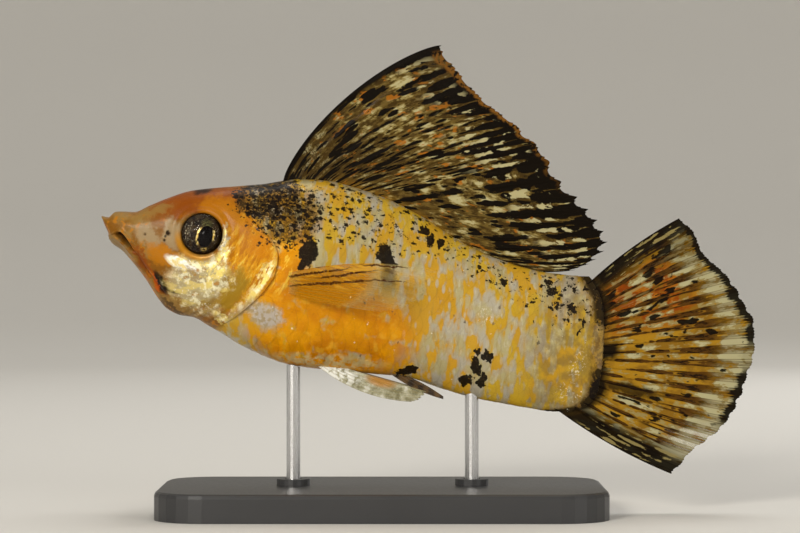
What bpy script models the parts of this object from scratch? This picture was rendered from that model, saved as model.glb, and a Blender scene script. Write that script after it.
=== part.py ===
# Giant sailfin molly, a mottled gold and black male, life size, on a plain display stand.
# Sizes are millimetres in the fish's own frame: x runs back from the tip of the snout,
# y runs to the fish's right and z runs up. The fish empty pitches that frame nose up.
import math

import bmesh
import bpy
from mathutils import Matrix, Vector
from mathutils.bvhtree import BVHTree

# Whole model
MM = 0.001
GAP = 0.3
PITCH = math.radians(14.25)
SNOUT_PLACE = (-59.0, 0.0, 53.46)

# Body outline seen from the side, snout to tail root, as (x, z)
BACK = ((0, 0), (1.3, 0.1), (2.2, 1.3), (3.4, 1.7), (5.7, 2.2), (7.9, 3.9), (10.3, 5.7),
        (14.2, 8.2), (18.5, 9.9), (26.6, 12.6), (33, 15.1), (40, 16.2), (47.6, 15.75),
        (55.5, 14.1), (63.6, 11.4), (70, 10.1), (77, 9.6), (84, 10.3), (90, 11.6), (97, 13))
BELLY = ((0, 0), (1.1, -1.6), (2.3, -3.1), (2.9, -4.2), (5.1, -5.1), (6.8, -6.2), (10.3, -8.9),
         (13.8, -12.1), (15.6, -13.3), (18, -13.8), (20.5, -13.6), (23.5, -14.4),
         (31.7, -16.6), (38.4, -17.5), (47.5, -16.5), (55.5, -15.2), (61, -14.4),
         (66.6, -14.9), (72.2, -15.1), (80, -14.7), (88.6, -14.1), (97, -14))
# Level where the body is widest, its half width there, and how square each half of a section is
WIDE_LEVEL = ((0, -0.2), (3, -1.2), (9, -1.2), (18, 0.2), (28, -1.2), (42, -2.2), (60, -1.8),
              (80, -2.2), (97, -1.6))
HALF_WIDTH = ((0, 0), (0.6, 2.0), (2.5, 3.3), (5, 4.2), (8, 4.9), (12, 5.6), (18, 6.5),
              (24, 7.3), (30, 7.8), (37, 7.8), (46, 7.3), (56, 6.3), (66, 5.1), (75, 4.0),
              (83, 3.0), (90, 2.0), (97, 1.3))
UPPER_SQUARE = ((0, 2.2), (6, 2.5), (18, 2.5), (28, 2.1), (42, 1.8), (97, 1.9))
LOWER_SQUARE = ((0, 2.2), (12, 2.0), (24, 2.1), (42, 2.0), (62, 1.75), (97, 1.8))

# Head
GILL_EDGE = ((-18, 22.5), (-15.1, 24.6), (-10.6, 28.7), (-5.2, 32.2), (-2.2, 33.1), (0.6, 32.9),
             (3, 31.4), (6.3, 26.6), (8.7, 24.9), (11.4, 24.0), (16, 23.2))
GILL_LIFT = 0.45
GILL_FADES = dict(front=(1, 10), low=(-15, -10), high=(3, 9))
CHEEK_EDGE = ((-13, 19.5), (-9.6, 22.1), (-6.3, 23.5), (-3.6, 23.9), (2, 23.7), (5, 22.5))
CHEEK_LIFT = 0.3
CHEEK_WIDTH = 1.3
CHEEK_FADES = dict(low=(-12, -8), high=(1, 5))
MOUTH_LINE = ((-1.0, -3.5), (2.6, -3.4), (4.1, -3.0), (5.3, -3.0), (6.4, -3.5), (7.6, -4.7))
MOUTH_OPENING = ((0, 0.3), (0.5, 0.3), (0.68, 0.75), (0.85, 0.85), (1, 0.15))
LIP_LIFT = 0.28
LIP_WIDTH = 0.8
LIP_FADE = (6.5, 8.5)
JAW_GROOVE = ((-12, 16.0), (-10.6, 14.4), (-9.2, 12.6), (-7.2, 10.2), (-4.8, 7.9), (-3, 6.9))
JAW_DEPTH = 0.25
JAW_WIDTH = 0.7
JAW_FADES = dict(low=(-12, -10.5), high=(-5.2, -4.4))
LIFT_SIDES = 2.5
NOSTRILS = ((8.8, -1.2, 0.32), (12.8, -0.3, 0.4))
NOSTRIL_OUT = 0.1
NOSTRIL_DEPTH = 1.4
EYE_PLACE = (18.7, 4.7, 1.35)
EYE_HALF = (4.1, 2.9, 4.1)
EYE_FORWARD = math.radians(7)

# Trunk and tail stalk, and how far past the body the cuts that part it reach
CUT_AHEAD, CUT_BEHIND = -9.0, 110.0
CUT_LEVELS = (-24.0, 24.0)
STALK_START = 68.0
STALK_END = ((-16, 83.5), (-14.4, 86.6), (-13.3, 90.2), (-11.6, 93.3), (-8.5, 94.5),
             (-5.2, 94.2), (1.2, 93.1), (6.5, 91.6), (10.1, 89.0), (11.6, 86.9), (14, 84))

# Fins, each with its rays, its rows of faces, its half thicknesses in the membrane and rays,
# and the share of a ray by which the membrane falls short of the tips
RAY_SHOULDERS = (0, 0.22, 0.78)
RAY_TAPER = 0.7
ROOT_ROWS = 2.5
ROOT_SWELL = 0.7
DORSAL = dict(rays=18, rows=12, membrane=0.27, ray_root=0.62, ray_tip=0.33, scallop=0.02)
DORSAL_ROOT = (30.2, 79.0)
DORSAL_EDGE = ((52.0, 44.8), (56.3, 41.0), (60.0, 38.1), (67.5, 34.7), (73.2, 32.1),
               (79.4, 26.8), (87.8, 21.2), (90.0, 18.2), (88.6, 14.6), (85.0, 11.6))
DORSAL_BOW = ((0, 4.2), (0.15, 1.7), (0.4, 0.0), (0.75, -1.3), (1, -0.2))
DORSAL_SPREAD = ((0, 0), (0.14, 0.226), (0.32, 0.48), (0.505, 0.7), (0.75, 0.87), (1, 1))
DORSAL_FULLNESS = 0.75
DORSAL_WAVE = 1.5
CAUDAL = dict(rays=21, rows=11, membrane=0.27, ray_root=0.75, ray_tip=0.32, scallop=0.014)
CAUDAL_ROOT = (87.4, 86.6)
CAUDAL_INSET = (0.4, 0.35)
CAUDAL_EDGE = ((100.8, 25.2), (103.9, 23.6), (106.9, 20.1), (111.2, 17.8), (115.8, 14.0),
               (119.1, 10.0), (120.4, 4.8), (120.2, -0.9), (119.2, -6.7), (117.6, -10.2),
               (113.6, -15.4), (112.2, -18.4), (110.9, -19.8))
CAUDAL_BOW = ((0, 0.6), (0.5, 0.0), (1, -0.7))
CAUDAL_WAVE = 1.4
PECTORAL = dict(rays=9, rows=8, membrane=0.26, ray_root=0.6, ray_tip=0.31, scallop=0.01)
PECTORAL_ROOT = ((35.6, -1.5), (36.3, -5.0))
PECTORAL_EDGE = ((61.0, 5.3), (60.8, 3.0), (59.3, 0.2), (56.8, -2.4), (53.0, -4.1))
PECTORAL_BOW = ((0, 1.5), (0.5, 0.3), (1, -0.4))
PECTORAL_SPLAY = 0.24
PECTORAL_STEM = 0.75
PECTORAL_TURN = 9
PECTORAL_CROWDING = 1.2
PELVIC = dict(rays=6, rows=8, membrane=0.27, ray_root=0.55, ray_tip=0.31, scallop=0.012)
PELVIC_ROOT = (44.4, 49.4)
PELVIC_EDGE = ((62.4, -18.5), (63.9, -17.6), (64.4, -16.1))
PELVIC_BOW = ((0, -1.5), (1, 0.0))
PELVIC_OUT = (1.7, 3.2)
ANAL = dict(rays=4, rows=9, membrane=0.36, ray_root=0.6, ray_tip=0.34, scallop=0.0)
ANAL_ROOT = (57.6, 60.6)
ANAL_EDGE = ((67.8, -16.9), (67.6, -16.0))
ANAL_BOW = ((0, -0.5), (1, 0.2))

# Stand, in the upright frame of the finished model
BASE_SIZE = (80.0, 43.0, 5.0)
BASE_PLACE = -8.5
BASE_CORNER = 9.0
BASE_ROUND = 0.8
COLLAR = (3.0, 1.2)
ROD_RADIUS = 1.25
ROD_SIDES = 16
ROD_PLACES = dict(front=-24.5, rear=7.6)
SOCKET_DEPTH = 4.0

# Colours, roughness and metallic value of each finish
FINISHES = dict(
    flesh=((0.80, 0.42, 0.08), 0.35, 0.0), fin=((0.36, 0.25, 0.14), 0.4, 0.0),
    clear_fin=((0.72, 0.45, 0.2), 0.35, 0.0), eye=((0.04, 0.03, 0.02), 0.1, 0.0),
    base=((0.03, 0.03, 0.03), 0.45, 0.0), rod=((0.6, 0.6, 0.6), 0.3, 1.0))


def smooth_curve(points):
    # A curve through the points that never overshoots them, as a function of the first number
    xs = [float(p[0]) for p in points]
    ys = [float(p[1]) for p in points]
    steps = [(ys[i + 1] - ys[i]) / (xs[i + 1] - xs[i]) for i in range(len(xs) - 1)]
    slopes = [steps[0]]
    for a, b in zip(steps, steps[1:]):
        slopes.append(0.0 if a * b <= 0 else 2 * a * b / (a + b))
    slopes.append(steps[-1])

    def value(x):
        x = min(max(x, xs[0]), xs[-1])
        i = max(j for j in range(len(xs) - 1) if xs[j] <= x)
        width = xs[i + 1] - xs[i]
        t = (x - xs[i]) / width
        return (ys[i] * (1 + 2 * t) * (1 - t) ** 2 + slopes[i] * width * t * (1 - t) ** 2
                + ys[i + 1] * t * t * (3 - 2 * t) - slopes[i + 1] * width * t * t * (1 - t))
    return value


def smooth_path(points):
    # A curve through (x, z) points, as a function of the share of its length
    lengths = [0.0]
    for a, b in zip(points, points[1:]):
        lengths.append(lengths[-1] + math.dist(a, b))
    along_x = smooth_curve([(s, p[0]) for s, p in zip(lengths, points)])
    along_z = smooth_curve([(s, p[1]) for s, p in zip(lengths, points)])
    return lambda share: (along_x(share * lengths[-1]), along_z(share * lengths[-1]))


back = smooth_curve(BACK)
belly = smooth_curve(BELLY)
wide_level = smooth_curve(WIDE_LEVEL)
root_width = smooth_curve([(math.sqrt(x), w) for x, w in HALF_WIDTH])
upper_square = smooth_curve(UPPER_SQUARE)
lower_square = smooth_curve(LOWER_SQUARE)
gill_edge = smooth_curve(GILL_EDGE)
cheek_edge = smooth_curve(CHEEK_EDGE)
mouth_line = smooth_curve(MOUTH_LINE)
jaw_groove = smooth_curve(JAW_GROOVE)
stalk_end = smooth_curve(STALK_END)


def half_width(x):
    # The square root makes the snout blunt when seen from above
    return root_width(math.sqrt(max(x, 0)))


def section(x, angle):
    # The point of the body's section at x, where angle 0 is the right side and 90 degrees the back
    level = min(max(wide_level(x), belly(x)), back(x))
    c, s = math.cos(angle), math.sin(angle)
    reach = (back(x) if s > 0 else belly(x)) - level
    power = 2 / (upper_square(x) if s > 0 else lower_square(x))
    return Vector((x, math.copysign(half_width(x) * abs(c) ** power, c),
                   level + reach * abs(s) ** power))


def side_surface(x, z):
    # Half width of the body at height z
    level = wide_level(x)
    square = upper_square(x) if z > level else lower_square(x)
    reach = (back(x) if z > level else belly(x)) - level
    share = min(abs((z - level) / reach), 1.0)
    return half_width(x) * (1 - share ** square) ** (1 / square)


def under_surface(x, y):
    # Height of the belly at distance y from the middle
    square = lower_square(x)
    share = min(abs(y) / half_width(x), 1.0)
    return wide_level(x) + (belly(x) - wide_level(x)) * (1 - share ** square) ** (1 / square)


def bell(distance, width):
    return math.exp(-(distance / width) ** 2)


def ramp(value, start, end):
    t = min(max((value - start) / (end - start), 0), 1)
    return t * t * (3 - 2 * t)


def head_lift(x, z):
    # How far the gill cover, the cheek ridge and the lips stand proud of the plain head
    cover = GILL_LIFT * (1 - ramp(gill_edge(z) - x, *GILL_FADES["front"]))
    cover *= ramp(z, *GILL_FADES["low"]) * (1 - ramp(z, *GILL_FADES["high"]))
    cheek = CHEEK_LIFT * bell(x - cheek_edge(z), CHEEK_WIDTH)
    cheek *= ramp(z, *CHEEK_FADES["low"]) * (1 - ramp(z, *CHEEK_FADES["high"]))
    lips = LIP_LIFT * bell(abs(z - mouth_line(x)) - LIP_WIDTH, LIP_WIDTH / 2)
    lips *= 1 - ramp(x, *LIP_FADE)
    groove = JAW_DEPTH * bell(x - jaw_groove(z), JAW_WIDTH)
    groove *= ramp(z, *JAW_FADES["low"]) * (1 - ramp(z, *JAW_FADES["high"]))
    return cover + cheek + lips - groove


def new_object(name, bm, finish, smooth=40):
    # A mesh object in metres with its own material, shaded smooth below the given angle
    bmesh.ops.scale(bm, vec=(MM, MM, MM), verts=bm.verts)
    mesh = bpy.data.meshes.new(name)
    bm.to_mesh(mesh)
    bm.free()
    mesh.shade_smooth()
    mesh.set_sharp_from_angle(angle=math.radians(smooth))
    colour, roughness, metallic = FINISHES[finish]
    material = bpy.data.materials.new(name)
    material.use_nodes = True
    shader = material.node_tree.nodes["Principled BSDF"]
    shader.inputs["Base Color"].default_value = (*colour, 1)
    shader.inputs["Roughness"].default_value = roughness
    shader.inputs["Metallic"].default_value = metallic
    mesh.materials.append(material)
    piece = bpy.data.objects.new(name, mesh)
    bpy.context.scene.collection.objects.link(piece)
    return piece


def sheet(columns, rows, place):
    # A grid of faces, with the vertex at column i and row j moved to place(i, j)
    bm = bmesh.new()
    bmesh.ops.create_grid(bm, x_segments=columns, y_segments=rows, size=1)
    for v in bm.verts:
        v.co = place(round((v.co.x + 1) / 2 * columns), round((v.co.y + 1) / 2 * rows))
    return bm


def loft(stations, around, lift=None):
    # A closed body through sections at the stations, wrapped from a grid and capped at its ends
    def place(i, j):
        point = section(stations[i], j / around * math.tau)
        if lift and 0 < i < len(stations) - 1:
            side = math.cos(j / around * math.tau)
            point.y += math.copysign(lift(point.x, point.z) * min(1, abs(side) * LIFT_SIDES), side)
        return point
    bm = sheet(len(stations) - 1, around, place)
    bmesh.ops.remove_doubles(bm, verts=bm.verts, dist=0.001)
    ends = [e for e in bm.edges if e.is_boundary]
    bmesh.ops.holes_fill(bm, edges=ends, sides=0)
    bmesh.ops.recalc_face_normals(bm, faces=bm.faces)
    return bm


def stations(start, end, count, crowding=1.0):
    # Places along the body, closer together at the front when crowding is over 1
    return [start + (end - start) * (i / count) ** crowding for i in range(count + 1)]


def slab(outline, reach=CUT_LEVELS[1]):
    # The (x, z) outline extruded across the whole body
    bm = bmesh.new()
    face = bm.faces.new([bm.verts.new((x, -reach, z)) for x, z in outline])
    grown = bmesh.ops.extrude_face_region(bm, geom=[face])
    bmesh.ops.translate(bm, vec=(0, 2 * reach, 0),
                        verts=[v for v in grown["geom"] if isinstance(v, bmesh.types.BMVert)])
    bmesh.ops.recalc_face_normals(bm, faces=bm.faces)
    return bm


def ball(centre, half, turn=0.0, segments=16, rings=10):
    # An ellipsoid turned about the vertical
    bm = bmesh.new()
    bmesh.ops.create_uvsphere(bm, u_segments=segments, v_segments=rings, radius=1)
    bmesh.ops.rotate(bm, matrix=Matrix.Rotation(math.pi / 2, 3, "X"), verts=bm.verts)
    bmesh.ops.scale(bm, vec=half, verts=bm.verts)
    bmesh.ops.rotate(bm, matrix=Matrix.Rotation(turn, 3, "Z"), verts=bm.verts)
    bmesh.ops.translate(bm, vec=centre, verts=bm.verts)
    return bm


def carve(piece, cutter_mesh, operation="DIFFERENCE"):
    # Cuts the piece with the mesh, applies the cut and keeps the largest closed surface
    cutter = new_object(piece.name + "_cutter", cutter_mesh, "flesh")
    cut = piece.modifiers.new("cut", "BOOLEAN")
    cut.operation = operation
    cut.object = cutter
    bpy.context.view_layer.update()
    result = bpy.data.meshes.new_from_object(
        piece.evaluated_get(bpy.context.evaluated_depsgraph_get()))
    piece.modifiers.clear()
    old, piece.data = piece.data, result
    result.name = piece.name
    bpy.data.meshes.remove(old)
    bpy.data.objects.remove(cutter)
    bm = bmesh.new()
    bm.from_mesh(piece.data)
    left = set(bm.verts)
    shells = []
    while left:
        shell, front = set(), [left.pop()]
        while front:
            v = front.pop()
            shell.add(v)
            for e in v.link_edges:
                other = e.other_vert(v)
                if other in left:
                    left.remove(other)
                    front.append(other)
        shells.append(shell)
    keep = max(shells, key=len)
    bmesh.ops.delete(bm, geom=[v for s in shells if s is not keep for v in s], context="VERTS")
    bm.to_mesh(piece.data)
    bm.free()


def edge_outline(edge, shift, far, count=28):
    # Outline of the region between the curve x = edge(z) + shift and the plane x = far
    low, high = CUT_LEVELS
    levels = [low + (high - low) * i / count for i in range(count + 1)]
    return [(edge(z) + shift, z) for z in levels] + [(far, high), (far, low)]


def make_head():
    # Snout, jaws, cheeks and gill covers, back to the rear edge of the gill covers
    places = stations(0, 14, 20, 1.5) + stations(14, 40, 24)[1:]
    head = new_object("head", loft(places, 40, head_lift), "flesh")
    carve(head, slab(edge_outline(gill_edge, 0, CUT_AHEAD)), "INTERSECT")
    first, last = MOUTH_LINE[0][0], MOUTH_LINE[-1][0]
    opening = smooth_curve(MOUTH_OPENING)
    places = [(i / 12, first + (last - first) * i / 12) for i in range(13)]
    upper = [(x, mouth_line(x) + opening(t) / 2) for t, x in places]
    lower = [(x, mouth_line(x) - opening(t) / 2) for t, x in reversed(places)]
    carve(head, slab(upper + lower))
    for side in (-1, 1):
        eye_centre = (EYE_PLACE[0], side * EYE_PLACE[1], EYE_PLACE[2])
        socket = [h + GAP for h in EYE_HALF]
        carve(head, ball(eye_centre, socket, side * EYE_FORWARD, 20, 12))
        for x, z, radius in NOSTRILS:
            centre = (x, side * (side_surface(x, z) + NOSTRIL_OUT), z)
            carve(head, ball(centre, (radius, radius * NOSTRIL_DEPTH, radius), 0, 8, 6))
    return head


def make_eye(name, side):
    centre = (EYE_PLACE[0], side * EYE_PLACE[1], EYE_PLACE[2])
    return new_object(name, ball(centre, EYE_HALF, side * EYE_FORWARD, 18, 10), "eye")


def make_trunk():
    # From the rear edge of the gill covers to a flat cut behind the anal fin
    trunk = new_object("trunk", loft(stations(21, STALK_START, 26), 34), "flesh")
    carve(trunk, slab(edge_outline(gill_edge, GAP, CUT_AHEAD)))
    return trunk


def make_tail_stalk():
    # From the flat cut to the rounded end where the tail fin's rays start
    stalk = new_object("tail_stalk", loft(stations(STALK_START + GAP, 96.5, 14), 30), "flesh")
    carve(stalk, slab(edge_outline(stalk_end, 0, CUT_BEHIND)))
    return stalk


def fin(name, form, place, finish):
    # A membrane whose own surface rises along each ray, thick at the root and thin at the tips
    columns, rows = (form["rays"] - 1) * 3, form["rows"]

    def across(i):
        # A ray's crest and the shoulders on both its sides
        return (i // 3 + RAY_SHOULDERS[i % 3]) / (form["rays"] - 1)

    def along(i, j):
        # The membrane ends a little short of the rays' tips
        return j / rows * (1.0 if i % 3 == 0 else 1.0 - form["scallop"])

    bm = sheet(columns, rows, lambda i, j: Vector(place(across(i), along(i, j))))
    bmesh.ops.triangulate(bm, faces=bm.faces)
    piece = new_object(name, bm, finish, 60)
    group = piece.vertex_groups.new(name="thickness")
    for v in piece.data.vertices:
        i, j = v.index % (columns + 1), v.index // (columns + 1)
        ray = form["ray_root"] + (form["ray_tip"] - form["ray_root"]) * (j / rows) ** RAY_TAPER
        root = (1 - ramp(j, 0, ROOT_ROWS)) * ROOT_SWELL
        membrane = form["membrane"] + (ray - form["membrane"]) * root
        half = ray if i % 3 == 0 else membrane
        group.add([v.index], half / form["ray_root"], "REPLACE")
    solid = piece.modifiers.new("thickness", "SOLIDIFY")
    solid.thickness = 2 * form["ray_root"] * MM
    solid.offset = 0
    solid.vertex_group = "thickness"
    return piece


def ray_point(start, end, bow, v, fullness=1.0):
    # A point on a ray that bows towards the front or the top by the given amount
    dx, dz = end[0] - start[0], end[1] - start[1]
    length = math.hypot(dx, dz)
    swell = (4 * v * (1 - v)) ** fullness * bow / length
    return start[0] + dx * v - dz * swell, start[1] + dz * v + dx * swell


def make_dorsal_fin():
    # The sail, from the nape to the tail stalk
    edge = smooth_path(DORSAL_EDGE)
    bow = smooth_curve(DORSAL_BOW)
    spread = smooth_curve(DORSAL_SPREAD)

    def place(u, v):
        root = DORSAL_ROOT[0] + (DORSAL_ROOT[1] - DORSAL_ROOT[0]) * u
        start = (root, back(root) + GAP)
        x, z = ray_point(start, edge(spread(u)), bow(u), v, DORSAL_FULLNESS)
        height = (z - back(x)) / DORSAL_EDGE[0][1]
        return x, DORSAL_WAVE * height * math.sin(x / DORSAL_ROOT[1] * math.tau), z
    return fin("dorsal_fin", DORSAL, place, "fin")


def make_caudal_fin():
    # The tail fin, fanned out from the rounded end of the stalk
    edge = smooth_path(CAUDAL_EDGE)
    bow = smooth_curve(CAUDAL_BOW)
    top, bottom = back(CAUDAL_ROOT[0]) - CAUDAL_INSET[0], belly(CAUDAL_ROOT[1]) + CAUDAL_INSET[1]

    def place(u, v):
        z = top + (bottom - top) * u
        slope = (stalk_end(z + 0.1) - stalk_end(z - 0.1)) / 0.2
        off = GAP / math.hypot(1, slope)
        x, z = ray_point((stalk_end(z) + off, z - slope * off), edge(u), bow(u), v)
        return x, CAUDAL_WAVE * v * v * math.sin(math.pi * (u - 0.25)), z
    return fin("caudal_fin", CAUDAL, place, "fin")


def make_pectoral_fin(name, side):
    # A side fin that leaves the body squarely and then turns back along it
    edge = smooth_path(PECTORAL_EDGE)
    bow = smooth_curve(PECTORAL_BOW)
    (top_x, top_z), (low_x, low_z) = PECTORAL_ROOT
    stem = 1 / PECTORAL["rows"]

    def place(u, v):
        x0, z0 = top_x + (low_x - top_x) * u, top_z + (low_z - top_z) * u
        out = side_surface(x0, z0) + GAP + PECTORAL_STEM * min(v / stem, 1)
        turned = max(v - stem, 0) / (1 - stem)
        x, z = ray_point((x0, z0), edge(u), bow(u), turned ** PECTORAL_CROWDING)
        out += PECTORAL_SPLAY * (x - x0) + PECTORAL_STEM * (1 - math.exp(-PECTORAL_TURN * turned))
        return x, side * out, z
    return fin(name, PECTORAL, place, "clear_fin")


def make_pelvic_fin(name, side):
    # One of the pair folded back below the belly
    edge = smooth_path(PELVIC_EDGE)
    bow = smooth_curve(PELVIC_BOW)

    def place(u, v):
        x0 = PELVIC_ROOT[0] + (PELVIC_ROOT[1] - PELVIC_ROOT[0]) * u
        start = (x0, under_surface(x0, PELVIC_OUT[0]) - GAP)
        x, z = ray_point(start, edge(u), bow(u), v)
        return x, side * (PELVIC_OUT[0] + (PELVIC_OUT[1] - PELVIC_OUT[0]) * v), z
    return fin(name, PELVIC, place, "clear_fin")


def make_anal_fin():
    # The male's narrow rod-shaped anal fin, laid back below the belly
    edge = smooth_path(ANAL_EDGE)
    bow = smooth_curve(ANAL_BOW)

    def place(u, v):
        x0 = ANAL_ROOT[0] + (ANAL_ROOT[1] - ANAL_ROOT[0]) * u
        x, z = ray_point((x0, belly(x0) - GAP), edge(u), bow(u), v)
        return x, 0.0, z
    return fin("anal_fin", ANAL, place, "fin")


def cylinder(radius, low, high, x, sides):
    bm = bmesh.new()
    bmesh.ops.create_cone(bm, cap_ends=True, segments=sides, radius1=radius, radius2=radius,
                          depth=high - low)
    bmesh.ops.translate(bm, vec=(x, 0, (low + high) / 2), verts=bm.verts)
    return bm


def make_stand_base():
    # A flat plate with rounded corners and a low collar and socket for each rod
    bm = bmesh.new()
    bmesh.ops.create_cube(bm, size=1)
    bmesh.ops.scale(bm, vec=BASE_SIZE, verts=bm.verts)
    upright = [e for e in bm.edges if abs(e.verts[0].co.z - e.verts[1].co.z) > 1]
    bmesh.ops.bevel(bm, geom=upright, offset=BASE_CORNER, segments=6, profile=0.5,
                    affect="EDGES", material=-1)
    rim = [e for e in bm.edges if all(v.co.z > 0 for v in e.verts)]
    bmesh.ops.bevel(bm, geom=rim, offset=BASE_ROUND, segments=2, profile=0.5,
                    affect="EDGES", material=-1)
    bmesh.ops.translate(bm, vec=(BASE_PLACE, 0, BASE_SIZE[2] / 2), verts=bm.verts)
    base = new_object("stand_base", bm, "base", 30)
    height = BASE_SIZE[2] + COLLAR[1]
    for x in ROD_PLACES.values():
        carve(base, cylinder(COLLAR[0], BASE_SIZE[2] - 1, height, x, 24), "UNION")
        carve(base, cylinder(ROD_RADIUS + GAP, height - SOCKET_DEPTH, height + 1, x, ROD_SIDES))
    return base


def make_stand_rod(name, x, body):
    # An upright rod whose top follows the belly above it
    bm = bmesh.new()
    bmesh.ops.create_circle(bm, cap_ends=True, cap_tris=True, segments=ROD_SIDES,
                            radius=ROD_RADIUS)
    bmesh.ops.translate(bm, vec=(x, 0, 0), verts=bm.verts)
    grown = bmesh.ops.extrude_face_region(bm, geom=bm.faces[:])
    top = [v for v in grown["geom"] if isinstance(v, bmesh.types.BMVert)]
    for v in bm.verts:
        if v in top:
            hit = body.ray_cast(v.co * MM, Vector((0, 0, 1)))[0]
            v.co.z = hit.z / MM - GAP
        else:
            v.co.z = BASE_SIZE[2] + COLLAR[1] - SOCKET_DEPTH + GAP
    bmesh.ops.recalc_face_normals(bm, faces=bm.faces)
    return new_object(name, bm, "rod", 50)


def belly_surface(pieces):
    # The placed pieces as one surface to measure the rods against
    verts, faces = [], []
    for piece in pieces:
        faces += [[i + len(verts) for i in p.vertices] for p in piece.data.polygons]
        verts += [piece.matrix_world @ v.co for v in piece.data.vertices]
    return BVHTree.FromPolygons(verts, faces)


def main():
    for old in list(bpy.data.objects):
        bpy.data.objects.remove(old)
    fish = bpy.data.objects.new("fish", None)
    bpy.context.scene.collection.objects.link(fish)
    fish.location = Vector(SNOUT_PLACE) * MM
    fish.rotation_euler = (0, PITCH, 0)
    trunk, stalk = make_trunk(), make_tail_stalk()
    pieces = [make_head(), trunk, stalk, make_dorsal_fin(), make_caudal_fin(), make_anal_fin()]
    for side, word in ((-1, "left"), (1, "right")):
        pieces.append(make_eye("eye_" + word, side))
        pieces.append(make_pectoral_fin("pectoral_fin_" + word, side))
        pieces.append(make_pelvic_fin("pelvic_fin_" + word, side))
    for piece in pieces:
        piece.parent = fish
    bpy.context.view_layer.update()
    make_stand_base()
    body = belly_surface((trunk, stalk))
    for word, x in ROD_PLACES.items():
        make_stand_rod("stand_rod_" + word, x, body)


main()
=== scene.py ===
import math

import bmesh
import bpy
import numpy as np
from mathutils import Matrix, Vector


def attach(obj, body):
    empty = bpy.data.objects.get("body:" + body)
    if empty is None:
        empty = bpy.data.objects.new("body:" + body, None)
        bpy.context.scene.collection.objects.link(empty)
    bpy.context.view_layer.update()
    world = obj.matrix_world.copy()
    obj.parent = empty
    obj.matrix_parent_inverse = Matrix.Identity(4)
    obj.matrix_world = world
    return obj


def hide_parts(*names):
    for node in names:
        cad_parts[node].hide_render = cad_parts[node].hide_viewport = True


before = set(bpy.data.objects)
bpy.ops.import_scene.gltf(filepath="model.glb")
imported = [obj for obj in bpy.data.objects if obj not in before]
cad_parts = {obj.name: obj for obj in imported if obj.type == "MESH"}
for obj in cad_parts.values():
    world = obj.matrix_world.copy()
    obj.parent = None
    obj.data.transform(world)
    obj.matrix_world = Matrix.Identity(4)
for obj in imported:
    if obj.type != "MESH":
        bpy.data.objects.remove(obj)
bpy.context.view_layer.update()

# The fish's own frame is in millimetres: x back from the snout's tip, y to its right, z up
fish = dict(snout=(-0.059, 0.0, 0.05346), pitch=math.radians(14.25), mm=0.001)


def toModel(points):
    # from the fish's frame to metres in the model's
    x, y, z = np.moveaxis(np.asarray(points, float), -1, 0)
    c, s = math.cos(fish["pitch"]), math.sin(fish["pitch"])
    turned = np.stack([x * c + z * s, y, z * c - x * s], -1)
    return turned * fish["mm"] + np.array(fish["snout"])


def curve(points):
    # smooth through the points, never past them, for single values or arrays
    xs, ys = np.array(points, float).T
    steps = np.diff(ys) / np.diff(xs)
    both, total = steps[1:] * steps[:-1], steps[1:] + steps[:-1]
    inner = np.where(both > 0, 2 * both / np.where(both > 0, total, 1), 0)
    slopes = np.concatenate([steps[:1], inner, steps[-1:]])

    def value(x):
        x = np.clip(x, xs[0], xs[-1])
        i = np.clip(np.searchsorted(xs, x, side="right") - 1, 0, len(xs) - 2)
        width = xs[i + 1] - xs[i]
        t = (x - xs[i]) / width
        return (ys[i] * (1 + 2 * t) * (1 - t) ** 2 + slopes[i] * width * t * (1 - t) ** 2
                + ys[i + 1] * t * t * (3 - 2 * t) - slopes[i + 1] * width * t * t * (1 - t))
    return value


def path(points):
    # smooth through (x, z) points, by the share of the length
    points = np.array(points, float)
    lengths = np.concatenate([[0], np.cumsum(np.hypot(*np.diff(points, axis=0).T))])
    alongX = curve(np.stack([lengths, points[:, 0]], -1))
    alongZ = curve(np.stack([lengths, points[:, 1]], -1))
    return lambda share: (alongX(share * lengths[-1]), alongZ(share * lengths[-1]))


def ramp(value, start, end):
    t = np.clip((value - start) / (end - start), 0, 1)
    return t * t * (3 - 2 * t)


def bell(distance, width):
    return np.exp(-(distance / width) ** 2)


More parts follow.
